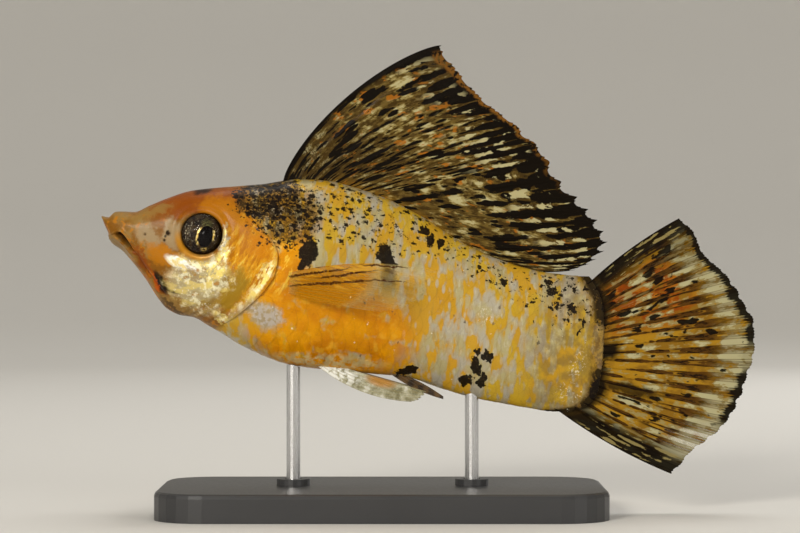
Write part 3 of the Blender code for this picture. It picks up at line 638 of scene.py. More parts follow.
    freckles = freckled(1.20, 0.12, 0.28).most(freckled(0.72, 0.08, 0.22))
    smudge = (finish.noise(dotPlace, 2.4, 3, 0.7).between(0.37, 0.48) * crowd.between(0.58, 0.86)
              * grit.between(0.38, 0.48))
    colour = finish.mix(crowd.between(0.55, 1.0) * 0.40, colour, tints["nape"])
    colour = finish.mix(smudge * 0.94, colour, tints["smudge"])
    colour = finish.mix(freckles * 0.97, colour, tints["dark"])

    # greyish violet dots low and to the rear
    rear = finish.patch(gentle, 66.0, -6.5, 22.0, 9.5, 0, 0.4)
    farDots, farLuck, farSize = finish.scattered(finish.scaled(place, 0.5, 0.3, 0.34))
    dots = ((farSize * 0.10 + grit * 0.5 - 0.22 - farDots).between(-0.03, 0.04)
            * farLuck.between(0.42, 0.46) * rear)
    colour = finish.mix(dots * 0.85, colour, tints["violet"])

    # the flesh darkens in patches where it runs out over the tail fin's rays, as the fin's foot does
    runOut = finish.stored("end")
    crust = finish.noise(place, 1.1, 3, 0.65)
    colour = finish.mix(runOut.between(0.1, 0.9) * 0.75, colour, footTint(finish, crust))
    soot = runOut * 0.55 + crust * 1.2 + z.between(1.5, 4.5).most(z.between(-3.0, -6.0)) * 0.35 - 1.22
    colour = finish.mix(soot.between(0.0, 0.2) * runOut.between(0.4, 0.9) * 0.95, colour, finTints["soot"])

    # black blotches with scaly, frayed edges
    leftSide = y.between(0.4, -0.4)
    black = greatest(greatest(finish.patch(frayed, *where, 0.45) for where in blotches[side]) * only
                     for side, only in (("left", leftSide), ("right", 1 - leftSide)))
    black = (black * 1.45 + grit * 2.2 - 1.72 - x.between(74.0, 82.0) * 0.26).between(0.0, 0.34)
    colour = finish.mix(black * 0.985, colour,
                        finish.mix(grit.between(0.53, 0.70), tints["dark"], tints["softBlack"]))

    # bright glints where a scale catches the light
    glints, glintLuck, _ = finish.scattered(finish.scaled(place, 0.7, 0.3, 0.42))
    glint = (grit * 0.9 - 0.41 - glints).between(-0.02, 0.05) * glintLuck.between(0.72, 0.74)
    for where in ((89.5, -4.7, 1.1, 2.2), (89.0, -10.0, 1.8, 1.3), (71.5, -0.3, 1.5, 1.2)):
        glint = glint.most(finish.patch(gentle, *where, 0, 0.7) * grit.between(0.56, 0.64) * 0.6)
    glint = glint * (1 - head) * (1 - black)
    colour = finish.mix(glint * 0.95, colour, tints["glint"])

    # painted shade in the hollows: the mouth, nostrils and the crease behind the gill cover, with the gap
    # round the eye and the jaw's groove
    hollow = finish.stored("hollow")
    colour = finish.mix(hollow, colour, tints["throat"])

    grain = finish.noise(place, 0.35, 3, 0.6) + finish.noise(place, 0.9, 4, 0.7) * head * 1.6
    ribs = finish.noise(finish.scaled(place, 0.6, 1.0, 3.2), 0.55, 2, 0.6)
    relief = finish.bump(grain * 0.6 + ribs * (1 - head) * 0.5, 0.5, 0.00018)
    finish.give(BaseColor=colour, Normal=relief,
                Roughness=finish.noise(place, 1.8, 2).between(0.2, 0.8) * 0.16 + 0.30,
                Metallic=((1 - head) * (1 - gold) * 0.28 + head * shine * 0.35 + glint * 0.3).least(0.6)
                * (1 - black) * (1 - hollow),
                CoatWeight=(1 - hollow)
                * (0.24 - black * 0.16 - smudge * 0.16 - head * 0.10).least(0.24 - runOut * 0.22))
    return finish


wetSkin = skinFinish()
print("skin finish ready")

# One skin over head, trunk and tail stalk. A column of its grid runs along the gill cover's rear edge
skin = dict(headColumns=150, crowding=1.3, step=0.10, trunkColumns=112, around=264)
relief = dict(
    cover=0.36, rim=0.10, drop=0.16, cheek=0.30, lip=0.28, lipWidth=0.8, slitDepth=1.3, jaw=0.28,
    eye=(18.7, 1.35), socket=1.9, orbit=0.2,
    nostrils=((8.8, -1.2, 0.18), (12.9, 0.0, 0.28), (12.5, -1.35, 0.20)))


def headRelief(x, z, gill, behind):
    # how far each point of the head stands proud, and how much painted shade its hollows get
    fades = ramp(z, -15, -10) * (1 - ramp(z, 3, 9))
    ahead = gill - x
    lift = np.where(behind, -relief["drop"] * (1 - ramp(-ahead, 0.3, 3.2)),
                    relief["cover"] * (1 - ramp(ahead, 1, 10)) + relief["rim"]
                    * bell(ahead - 0.5, 0.5)) * fades
    ridge = x - body["cheekEdge"](z)
    cheekFade = ramp(z, -12, -8) * (1 - ramp(z, 1, 5))
    lift += relief["cheek"] * bell(ridge, 1.3) * cheekFade - 0.16 * bell(ridge - 1.7, 0.5) * cheekFade
    fromMouth = z - body["mouthLine"](x)
    mouthFade = 1 - ramp(x, 6.5, 8.5)
    lift += relief["lip"] * bell(np.abs(fromMouth) - relief["lipWidth"] * ramp(x, 1.8, 4.4), 0.4) * mouthFade
    opening = body["mouthOpening"](x) / 2
    slit = (1 - ramp(np.abs(fromMouth), opening * 0.7, opening + 0.16)) * (1 - ramp(x, 7.0, 7.8))
    slit = slit * (0.06 + 0.94 * ramp(x, 3.3, 4.1))
    lift -= relief["slitDepth"] * slit
    groove = bell(x - body["jawGroove"](z), 0.55) * ramp(z, -12, -10.5) * (1 - ramp(z, -5.2, -4.4))
    lift -= relief["jaw"] * groove
    fromEye = np.hypot(x - relief["eye"][0], z - relief["eye"][1])
    lift -= relief["socket"] * (1 - ramp(fromEye, 3.2, 3.95))
    lift += relief["orbit"] * bell(fromEye - 4.35, 0.42) - 0.10 * bell(fromEye - 5.3, 0.5)
    pits = 0 * x
    for nx, nz, radius in relief["nostrils"]:
        away = np.hypot(x - nx, z - nz)
        pits = np.maximum(pits, bell(away, radius))
        lift += 0.05 * bell(away - radius * 1.9, radius * 0.6)
    lift -= 0.5 * pits
    # the folded skin under the gill cover
    folds = np.cos((ahead - 0.8) * math.tau / 1.5) * ramp(ahead, 0.8, 2) * (1 - ramp(ahead, 5, 8))
    lift += 0.09 * folds * ramp(z, -15.5, -14) * (1 - ramp(z, -10, -8)) * ~behind
    crease = np.where(behind, 1 - ramp(-ahead, 0.0, 0.45), 0) * ramp(z, -13, -10) * (1 - ramp(z, 0, 5)) * 0.12
    gap = bell(fromEye - 3.55, 0.22)
    hollow = np.clip(np.maximum.reduce([slit, pits * 1.1, crease, gap, 0.35 * groove]), 0, 1)
    return lift, hollow


def makeSkin():
    head, trunk = skin["headColumns"], skin["trunkColumns"]
    columns, around = head + 1 + trunk, skin["around"]
    mesh, i, j = gridMesh("skin", columns, around)
    angle = turns[0] + (turns[-1] - turns[0]) * j / around
    gill, end = np.interp(angle, turns, gillTable), np.interp(angle, turns, stalkTable)
    share = (i - head - 1) / trunk
    start = gill + skin["step"]
    x = np.where(i <= head, gill * (np.minimum(i, head) / head) ** skin["crowding"],
                 start + (end - start) * (1 - (1 - np.clip(share, 0, 1)) ** 1.15))
    points, outward = surface(x, angle), normal(np.maximum(x, 0.05), angle)
    lift, hollow = headRelief(x, points[:, 2], gill, i > head)
    side = np.minimum(1, np.abs(np.cos(angle)) * 2.5)
    side = np.where(x < 8, np.maximum(side, ramp(8 - x, 0, 4)), side)
    side = side * ramp(x, 0.0, 0.8)
    points = points + outward * (lift * side)[:, None]
    points[:, 1] *= i < columns
    setPoints(mesh, toModel(points))
    addMap(mesh, "lie", np.stack([(x - lie["front"]) / lie["pitch"], angleRow(angle)], -1))
    addValues(mesh, "hollow", hollow * np.minimum(side * 1.5, 1))
    addValues(mesh, "head", headShare(x, points[:, 2]))
    addValues(mesh, "end", endShare(x, angle))
    clean(mesh)
    return shown("skin", mesh, wetSkin, ("head", "trunk", "tail_stalk"), 55)


def headShare(x, z):
    # 1 on the head, fading out just behind the gill cover and up the nape
    return 1 - ramp(x - body["gillEdge"](z), -0.6 + 0 * z, 0.5 + 1.2 * ramp(z, 4, 9))


def endShare(x, angle):
    # 1 at the stalk's end, where the tail fin's rays come out of it
    return ramp(np.interp(angle, turns, stalkTable) - x, 4.5, 0.5)


skinPiece = makeSkin()
print("skin", len(skinPiece.data.polygons), "faces")

# Scales: thin plates rooted under the skin, each overlapping the two behind it
scale = dict(across=6, along=5, length=2.16, halfHeight=1.0, rounding=0.62, thickness=0.035, sink=0.085,
             rise=0.19, dome=0.04, tilt=0.02, twist=0.02, bare=1.6, seed=11, rootWidth=0.62, widening=2.2,
             crowding=1.35, most=40, behindGill=0.2, nape=dict(x=25.0, height=9, first=20.6),
             fine=dict(share=0.55, x=(22, 34), height=(6, 10)),
             chart=dict(corner=0.02, spacing=(42.0, 28.0), unit=0.003))


def scaleTemplate():
    # one plate in the rows' own units: along from its root, across the row, and height in millimetres
    bm = bmesh.new()
    bmesh.ops.create_grid(bm, x_segments=scale["along"], y_segments=scale["across"], size=1)
    for v in bm.verts:
        along, across = (v.co.x + 1) / 2, v.co.y
        reach = scale["length"] - scale["rounding"] * across ** 2
        narrow = scale["rootWidth"] + (1 - scale["rootWidth"]) * min(1, along * scale["widening"])
        v.co = (reach * (1 - (1 - along) ** scale["crowding"]), across * scale["halfHeight"] * narrow, 0)
    grown = bmesh.ops.extrude_face_region(bm, geom=bm.faces[:])
    for v in grown["geom"]:
        if isinstance(v, bmesh.types.BMVert):
            v.co.z = scale["thickness"]
    bmesh.ops.recalc_face_normals(bm, faces=bm.faces)
    mesh = bpy.data.meshes.new("scale")
    bm.to_mesh(mesh)
    bm.free()
    places = readPoints(mesh)
    return mesh, places[:, 0] / (scale["length"] - scale["rounding"] * places[:, 1] ** 2)


def repeated(template, count):
    # the template's mesh count times over in one mesh, copy after copy
    piece = bpy.data.objects.new("repeated", template)
    bpy.context.scene.collection.objects.link(piece)
    array = piece.modifiers.new("array", "ARRAY")
    array.count = count
    array.use_relative_offset = False
    bpy.context.view_layer.update()
    mesh = bpy.data.meshes.new_from_object(piece.evaluated_get(bpy.context.evaluated_depsgraph_get()))
    bpy.data.objects.remove(piece)
    return mesh


def makeScales():
    draw = np.random.default_rng(scale["seed"])
    nape, fine, chart = scale["nape"], scale["fine"], scale["chart"]
    places = []
    for row in range(lie["rows"]):
        angle = rowAngle(row + 0.5)
        gill, end = np.interp(angle, turns, gillTable), np.interp(angle, turns, stalkTable)
        high = section(np.array([nape["x"]]), np.array([angle]))[0, 2]
        first = gill + scale["behindGill"] if high < nape["height"] else nape["first"]
        shift = 0.5 if row % 2 else 0.0
        for k in range(scale["most"]):
            root = lie["front"] + lie["pitch"] * (k + shift)
            if root > first and root + scale["length"] * lie["pitch"] < end - scale["bare"]:
                places.append((k + shift, row + 0.5))
    places = np.array(places)
    template, reach = scaleTemplate()
    local = readPoints(template)
    mesh = repeated(template, len(places))
    count = len(places)
    along, across = local[None, :, 0], local[None, :, 1]
    u = places[:, 0, None] + along
    v = places[:, 1, None] + across
    x = lie["front"] + lie["pitch"] * u
    angle = rowAngle(np.clip(v, 0, lie["rows"]))
    tilt = draw.normal(0, scale["tilt"], (count, 1))
    twist = draw.normal(0, scale["twist"], (count, 1))
    share = along / scale["length"]
    fineFront = (1 - fine["share"] * (1 - ramp(x, *fine["x"]))
                 * ramp(section(x, angle)[..., 2], *fine["height"]))
    height = (-scale["sink"] + (scale["rise"] + tilt) * share + twist * across * share
              + scale["dome"] * (1 - across ** 2) * np.sin(share * math.pi)) * fineFront
    height = height + local[None, :, 2]
    points = surface(x, angle) + normal(x, angle) * height[..., None]
    setPoints(mesh, toModel(points.reshape(-1, 3)))
    lieMap = np.stack([u, v + 0 * u], -1).reshape(-1, 2)
    addMap(mesh, "lie", lieMap)
    corner = chart["corner"] + places / np.array(chart["spacing"])
    patch = corner[:, None, :] + chart["unit"] * local[None, :, :2]
    addMap(mesh, "OFBake", patch.reshape(-1, 2))
    addValues(mesh, "rim", np.tile(reach, count))
    addValues(mesh, "head", headShare(x, points[..., 2]).ravel())
    addValues(mesh, "end", endShare(x, angle).ravel())
    print("scales", count, "pieces", len(mesh.polygons), "faces")
    return shown("scales", mesh, wetSkin, (), 50)


makeScales()

# Fins. Each ray's foot and tip follow the same curves as in the solids, and rays branch towards their tips
dorsal = dict(rays=18, perRay=16, rows=84, membrane=0.07, rayRoot=0.42, rayTip=0.15, sink=0.03,
              fork=(0.42, 0.74), spread=(0.17, 0.075), width=(0.13, 0.05), scallop=0.014, ragged=0.018,
              spike=1.5,
              root=(30.2, 79.0), wave=1.5, fullness=0.75,
              edge=path(((52.0, 44.8), (56.3, 41.0), (60.0, 38.1), (67.5, 34.7), (73.2, 32.1),
                         (79.4, 26.8), (87.8, 21.2), (90.0, 18.2), (88.6, 14.6), (85.0, 11.6))),
              bow=curve(((0, 4.2), (0.15, 1.7), (0.4, 0.0), (0.75, -1.3), (1, -0.2))),
              fan=curve(((0, 0), (0.14, 0.226), (0.32, 0.48), (0.505, 0.7), (0.75, 0.87), (1, 1))))
caudal = dict(rays=21, perRay=14, rows=78, membrane=0.07, rayRoot=0.45, rayTip=0.14, sink=0.06,
              fork=(0.30, 0.62), spread=(0.19, 0.085), width=(0.15, 0.055), scallop=0.012, ragged=0.012,
              spike=0.3,
              wave=1.4,
              edge=path(((100.8, 25.2), (103.9, 23.6), (106.9, 20.1), (111.2, 17.8), (115.8, 14.0),
                         (119.1, 10.0), (120.4, 4.8), (120.2, -0.9), (119.2, -6.7), (117.6, -10.2),
                         (113.6, -15.4), (112.2, -18.4), (110.9, -19.8))),
              bow=curve(((0, 0.6), (0.5, 0.0), (1, -0.7))))
pectoral = dict(rays=9, perRay=14, rows=64, membrane=0.04, rayRoot=0.30, rayTip=0.07, sink=0.04,
                fork=(0.45, 0.75), spread=(0.15, 0.07), width=(0.13, 0.05), scallop=0.02, ragged=0.012,
                spike=0,
                root=((35.6, -1.5), (36.3, -5.0)), splay=0.24, stem=0.75, turn=9, crowding=1.2,
                stemShare=0.125,
                edge=path(((61.0, 5.3), (60.8, 3.0), (59.3, 0.2), (56.8, -2.4), (53.0, -4.1))),
                bow=curve(((0, 1.5), (0.5, 0.3), (1, -0.4))),
                inked=((40.0, -0.4, 5.1, 0.24, 22), (44.5, 2.6, 2.4, 0.18, 23), (45.4, 0.7, 4.4, 0.24, 22),
                       (43.9, -1.2, 7.1, 0.28, 18), (51.6, 3.8, 3.6, 0.18, 11), (42.6, 1.9, 3.4, 0.16, 25),
                       (52.6, 1.4, 3.0, 0.14, 12)))
pelvic = dict(rays=6, perRay=14, rows=48, membrane=0.05, rayRoot=0.34, rayTip=0.10, sink=0.03,
              fork=(0.45, 0.8), spread=(0.15, 0.07), width=(0.15, 0.06), scallop=0.02, ragged=0.02, spike=0,
              root=(44.4, 49.4), out=(1.7, 3.2),
              edge=path(((62.4, -18.5), (63.9, -17.6), (64.4, -16.1))), bow=curve(((0, -1.5), (1, 0.0))))
anal = dict(rays=4, perRay=12, rows=60, membrane=0.22, rayRoot=0.52, rayTip=0.22, sink=0.05,
            fork=(0.9, 0.95), spread=(0.05, 0.02), width=(0.26, 0.2), scallop=0.0, ragged=0.0, spike=0,
            root=(57.6, 60.6), edge=path(((67.7, -16.8), (67.6, -16.35))), bow=curve(((0, -0.5), (1, 0.2))))


def rayPoint(start, end, bow, v, fullness=1.0):
    # a point on a ray that bows to the front or the top
    dx, dz = end[0] - start[0], end[1] - start[1]
    length = np.hypot(dx, dz)
    swell = np.clip(4 * v * (1 - v), 0, None) ** fullness * bow / length
    return start[0] + dx * v - dz * swell, start[1] + dz * v + dx * swell


def dorsalPoint(u, v):
    root = dorsal["root"][0] + (dorsal["root"][1] - dorsal["root"][0]) * u
    start = (root, body["back"](root))
    x, z = rayPoint(start, dorsal["edge"](dorsal["fan"](u)), dorsal["bow"](u), v, dorsal["fullness"])
    height = (z - body["back"](x)) / 44.8
    return x, dorsal["wave"] * height * np.sin(x / dorsal["root"][1] * math.tau), z


def caudalPoint(u, v):
    z = tailFoot["top"] + (tailFoot["bottom"] - tailFoot["top"]) * u
    x, z = rayPoint((body["stalkEnd"](z), z), caudal["edge"](u), caudal["bow"](u), v)
    return x, caudal["wave"] * v * v * np.sin(math.pi * (u - 0.25)), z


def pectoralPoint(side):
    def point(u, v):
        (topX, topZ), (lowX, lowZ) = pectoral["root"]
        x0, z0 = topX + (lowX - topX) * u, topZ + (lowZ - topZ) * u
        stem = pectoral["stemShare"]
        out = sideWidth(x0, z0) + pectoral["stem"] * np.minimum(v / stem, 1)
        turned = np.clip(v - stem, 0, None) / (1 - stem)
        x, z = rayPoint((x0, z0), pectoral["edge"](u), pectoral["bow"](u), turned ** pectoral["crowding"])
        out = out + pectoral["splay"] * (x - x0) + pectoral["stem"] * (1 - np.exp(-pectoral["turn"] * turned))
        return x, side * out, z
    return point


def pelvicPoint(side):
    def point(u, v):
        x0 = pelvic["root"][0] + (pelvic["root"][1] - pelvic["root"][0]) * u
        near, far = pelvic["out"]
        x, z = rayPoint((x0, underside(x0, near)), pelvic["edge"](u), pelvic["bow"](u), v)
        return x, side * (near + (far - near) * v), z
    return point


def analPoint(u, v):
    x0 = anal["root"][0] + (anal["root"][1] - anal["root"][0]) * u
    x, z = rayPoint((x0, body["belly"](x0)), anal["edge"](u), anal["bow"](u), v)
    return x, 0 * x, z


def makeFin(name, form, point, finish, nodes, seed):
    # a membrane with branching rays raised on both its faces
    draw = np.random.default_rng(seed)
    columns, rows = (form["rays"] - 1) * form["perRay"], form["rows"]
    mesh, i, j = gridMesh(name, columns, rows)
    u, v = i / columns, j / rows
    lane = i / form["perRay"]
    near = np.abs(lane - np.rint(lane))
    first = form["spread"][0] * ramp(v, form["fork"][0], form["fork"][0] + 0.3)
    second = form["spread"][1] * ramp(v, form["fork"][1], form["fork"][1] + 0.2)
    away = np.abs(np.abs(near - first) - second)
    width = form["width"][0] + (form["width"][1] - form["width"][0]) * v
    ray = np.sqrt(np.clip(1 - (away / width) ** 2, 0, 1))
    uneven = np.interp(lane, np.arange(form["rays"] * 2) / 2, draw.uniform(0, 1, form["rays"] * 2))
    foot, far = np.stack(point(u, 0 * u), -1), np.stack(point(u, 0 * u + 1), -1)
    lengths = np.linalg.norm(far - foot, axis=-1)
    spike = form["spike"] * ramp(u, 0.1, 0.55) / lengths
    reach = 1 - form["scallop"] * (1 - bell(away, width * 1.2)) - form["ragged"] * uneven
    reach = reach - spike * (1 - np.exp(-near / 0.11))
    edgeRay = np.minimum(u, 1 - u) * columns < 1
    reach = np.where(edgeRay, 1 - form["ragged"] * 0.3, reach)
    spot = -form["sink"] + (reach + form["sink"]) * v
    x, y, z = point(u, spot)
    setPoints(mesh, toModel(np.stack([x, y, z], -1)))
    addMap(mesh, "rays", np.stack([lane, v], -1))
    ray = np.where(edgeRay, 1, ray)
    addValues(mesh, "ray", ray)
    addValues(mesh, "along", lengths * v)
    half = form["rayRoot"] + (form["rayTip"] - form["rayRoot"]) * v ** 0.6
    foot = (1 - ramp(v, 0, 0.12)) * 0.6
    membrane = form["membrane"] + (half - form["membrane"]) * foot
    half = membrane + (half - membrane) * ray
    piece = shown(name, mesh, finish, nodes, 70)
    group = piece.vertex_groups.new(name="thickness")
    for index, weight in enumerate(half / form["rayRoot"]):
        group.add([index], float(weight), "REPLACE")
    solid = piece.modifiers.new("thickness", "SOLIDIFY")
    solid.thickness = 2 * form["rayRoot"] * fish["mm"]
    solid.offset = 0
    solid.vertex_group = "thickness"
    return piece


def streaks(finish, lane, off, along, length, seed, detail=1.5):
    # noise stretched along each space between rays, different in every one; length in millimetres
    place = finish.join(lane * 7.31 + seed, along / length, off * 0.7 + seed)
    return finish.noise(place, 1.0, detail, 0.6)


def mottledFin(name):
    # the finish of a thick fin, with the place on it and what its mesh stores
    finish = Finish(name, {"IOR": 1.33, "Specular IOR Level": 0.06, "Coat Weight": 0.02})
    lane, v, _ = finish.map("rays")
    return finish, lane, v, finish.stored("ray"), finish.stored("along"), finish.place()


def giveMottled(finish, colour, clear, lane, along, place):
    grain = finish.noise(finish.join(lane * 2, along * 5.0), 1.0, 1)
    finish.give(BaseColor=colour, Alpha=1 - clear, Roughness=finish.noise(place, 1.0, 2) * 0.2 + 0.34,
                Normal=finish.bump(grain, 0.25, 0.00008))
    return finish


def spaces(lane):
    # for the spaces between rays and then the rays: number, place across, and distance from the middle
    space, onRay = lane.floor(), (lane + 0.5).floor()
    off, offRay = lane.fract() - 0.5, (lane + 0.5).fract() - 0.5
    return space, onRay, off, offRay, off.size() * 2, offRay.size() * 2


def sailFinish():
    finish, lane, v, ray, along, place = mottledFin("sail_membrane")

    # rows of dashes follow the rays. The widest spaces, at the front, hold several rows each
    rowed = lane + lane.least(6.0) * 1.6
    space, onRay, off, offRay, wide, wideRay = spaces(rowed)

    # the outer part and the front edge are darker
    outer = (v + (finish.noise(place, 4.0, 2) - 0.5) * 0.4 - lane.between(5.5, 1.5) * 0.16).between(0.50,
                                                                                                    0.95)
    band = (0.14 + (v - 0.42).size() * 0.30 - lane).between(-0.12, 0.08)
    smoky = lane.between(6.0, 2.0) * v.between(0.55, 0.15)
    tip = lane.between(3.6, 1.5) * v.between(0.74, 0.95)

    # fine hair-like streaks, then cream and pale dashes on the rays
    hair = finish.noise(finish.join(rowed * 3.4, along / 1.5, 3.3), 1.0, 3, 0.66)
    colour = finish.mix(hair.between(0.38, 0.60), finTints["brown"], finTints["tan"])
    pale = streaks(finish, onRay, offRay, along, 3.2, 17.0, 3) - wideRay ** 2 * 0.08 + hair * 0.55 - 0.275
    pale = pale + smoky * 0.012 - tip * 0.04 - outer * 0.02 + v.between(0.15, 0.35) * 0.015
    colour = finish.mix(pale.between(0.47, 0.56) * 0.8, colour, finTints["olive"])
    colour = finish.mix(pale.between(0.535, 0.585), colour, finTints["cream"])
    colour = finish.mix(pale.between(0.60, 0.65), colour, finTints["pale"])
    warm = streaks(finish, space, off, along, 2.8, 41.0, 2) - wide ** 2 * 0.05 + hair * 0.3 - 0.15
    colour = finish.mix(warm.between(0.59, 0.63) * (0.85 - outer * 0.5), colour, finTints["orange"])
    colour = finish.mix(smoky.most(tip) * 0.5, colour, finTints["brown"])
    speckle = finish.noise(place, 0.42, 2, 0.65).between(0.47, 0.54)
    colour = finish.mix(speckle * smoky.most(v.between(0.22, 0.05) * 0.7) * 0.9, colour, finTints["brown"])
    colour = finish.mix(v.between(0.12, 0.03) * lane.between(1.5, 4.0) * 0.5, colour, finTints["ochre"])

    # black dashes in the spaces, closing up towards the edge, with cream ones between them
    dashes = streaks(finish, space, off, along, 7.0, 3.0, 2) - wide ** 2 * 0.30 + hair * 0.42 - 0.21
    verge = v.between(0.82, 0.96) * lane.between(0.8, 1.8)
    dark = dashes + outer * 0.18 + verge * 0.12 + tip * 0.05 + smoky * 0.05 + lane.between(2.5, 6.0) * 0.028
    dark = dark.between(0.495, 0.535)
    thin = streaks(finish, onRay, offRay, along, 5.5, 29.0) - wideRay ** 2 * 0.40 + hair * 0.2 - 0.10
    dark = dark.most((thin + outer * 0.04 + smoky * 0.05).between(0.54, 0.575))
    colour = finish.mix(dark.most(band), colour, finTints["dark"])
    glow = streaks(finish, onRay, offRay, along, 3.6, 71.0, 2) - wideRay ** 2 * 0.42 + hair * 0.5 - 0.25
    glow = (glow - verge * 0.05).between(0.495, 0.535) * (1 - band) * (1 - tip * 0.5) * v.between(0.97, 0.93)
    colour = finish.mix(glow * outer.between(0.0, 0.4), colour, finTints["pale"])
    margin = ((v + lane.between(2.0, 0.5) * 0.02).between(0.965, 0.985) * lane.between(0.1, 0.4)
              * lane.between(8.5, 3.5))
    colour = finish.mix(margin * finish.noise(place, 0.8, 2, 0.6).between(0.40, 0.54), colour,
                        finTints["margin"])
    clear = (1 - dark.most(band)) * (1 - ray) * 0.03 + tip * 0.06
    return giveMottled(finish, colour, clear, lane, along, place)


def tailFinish():
    finish, lane, v, ray, along, place = mottledFin("tail_membrane")
    space, onRay, off, _, wide, wideRay = spaces(lane)
    chart = finish.join(lane, v * 20)

    hair = finish.noise(finish.join(lane * 5.0, along / 1.8, 3.3), 1.0, 3, 0.66)
    jag = (finish.noise(finish.join(lane * 0.9, 5.0), 1.0, 2) - 0.5) * 0.14 + ray * 0.03 - 0.06 + hair * 0.10
    faded = finish.spot(chart, 17.1, 19.2, 1.5, 4.6, 0.5)
    rim = ((v + jag).between(0.925, 0.960) * (1 - faded)
           * (1 - finish.spot(chart, 10.6, 19.4, 0.8, 1.4, 0.5) * 0.8))
    upper = lane.between(2.0, 0.6).most(lane.between(4.0, 0.8) * v.between(0.55, 0.8) * 0.6)
    lower = lane.between(17.6, 19.0)
    shaken = finish.vector("ADD", chart, finish.scaled(finish.noise(chart, 1.2, 2, 0.6, 1), 1.2, 1.2, 0))
    foot = greatest((finish.spot(shaken, 10.4, 2.0, 1.4, 1.8, 0.4),
                     finish.spot(shaken, 15.6, 1.4, 2.0, 1.6, 0.4),
                     finish.spot(shaken, 14.9, 5.6, 0.6, 4.6, 0.5) * 0.85))
    crust = finish.noise(place, 1.1, 3, 0.65)
    soot = (v.between(0.20, 0.02) * 0.55 + crust * 1.2
            + lane.between(8.0, 5.5).most(lane.between(10.5, 13.0)) * 0.35)
    foot = foot.most((soot - 1.08).between(0.0, 0.2) * v.between(0.18, 0.05))
    warmth = streaks(finish, space, off, along, 5.0, 23.0, 3) + hair * 0.25 - 0.125
    redness = lane.between(8.6, 6.4) * lane.between(1.2, 2.4) * v.between(0.80, 0.6) * v.between(0.02, 0.16)
    edgeBand = v.between(0.70, 0.86)

    colour = finish.mix(warmth.between(0.40, 0.58), finTints["ochre"], finTints["gold"])
    shade = lane.between(5.5, 3.0) * v.between(0.55, 0.25)
    colour = finish.mix(shade * 0.85, colour, finTints["shade"])
    colour = finish.mix(redness * warmth.between(0.38, 0.50) * 0.95, colour, finTints["red"])
    colour = finish.mix(redness * warmth.between(0.50, 0.58), colour, finTints["orange"])
    pale = streaks(finish, space, off, along, 4.4, 31.0, 3) - wide ** 2 * 0.14 + hair * 0.4 - 0.20
    pale = pale + edgeBand * 0.18 + lane.between(11.0, 15.0) * 0.02 - v.between(0.25, 0.1) * 0.06
    colour = finish.mix(pale.between(0.49, 0.54) * 0.9, colour, finTints["cream"])
    colour = finish.mix(pale.between(0.57, 0.62), colour, finTints["cell"])

    # the rays are dark lines, here and there thickened or broken
    rayTint = finish.mix(hair.between(0.40, 0.56), finTints["rayDark"], finTints["rayBrown"])
    line = finish.noise(finish.join(onRay * 7.31, along / 5.0, 4.0), 1.0, 3, 0.6) - wideRay ** 2 * 1.0 + 0.06
    line = line + redness * 0.04 + shade * 0.04 + hair * 0.16 - 0.08
    line = line.between(0.475, 0.52).most(ray.between(0.25, 0.75) * v.between(0.35, 0.6))
    colour = finish.mix(line * (1.0 - edgeBand * 0.5), colour, rayTint)

    dashes = streaks(finish, space, off, along, 4.6, 9.0, 2) - wide ** 2 * 0.16 - edgeBand * 0.05
    dashes = dashes + redness * 0.045 + lane.between(9.0, 5.0) * 0.015 + hair * 0.2 - 0.10
    dark = dashes.between(0.595, 0.625)
    dark = dark.most(upper).most(lower).most(foot).most(rim) * (1 - faded * 0.85)
    colour = finish.mix(dark * 0.98, colour, finTints["dark"])
    split = lane * 2.6
    gleam = streaks(finish, split.floor(), split.fract() - 0.5, along, 5.0, 53.0, 2) + hair * 0.5 - 0.25
    gleam = (gleam - (split.fract() * 2 - 1) ** 2 * 0.30).between(0.50, 0.54) * upper.most(lower).most(shade)
    colour = finish.mix(gleam * (1 - rim) * v.between(0.14, 0.3) * 0.8, colour, finTints["cream"])
    blend = v.between(0.13, 0.02) * (1 - foot)
    colour = finish.mix(blend * 0.8, colour, footTint(finish, crust))
    clear = (1 - dark) * (1 - ray) * (0.04 + edgeBand * 0.08 + faded * 0.5)
    return giveMottled(finish, colour, clear, lane, along, place)


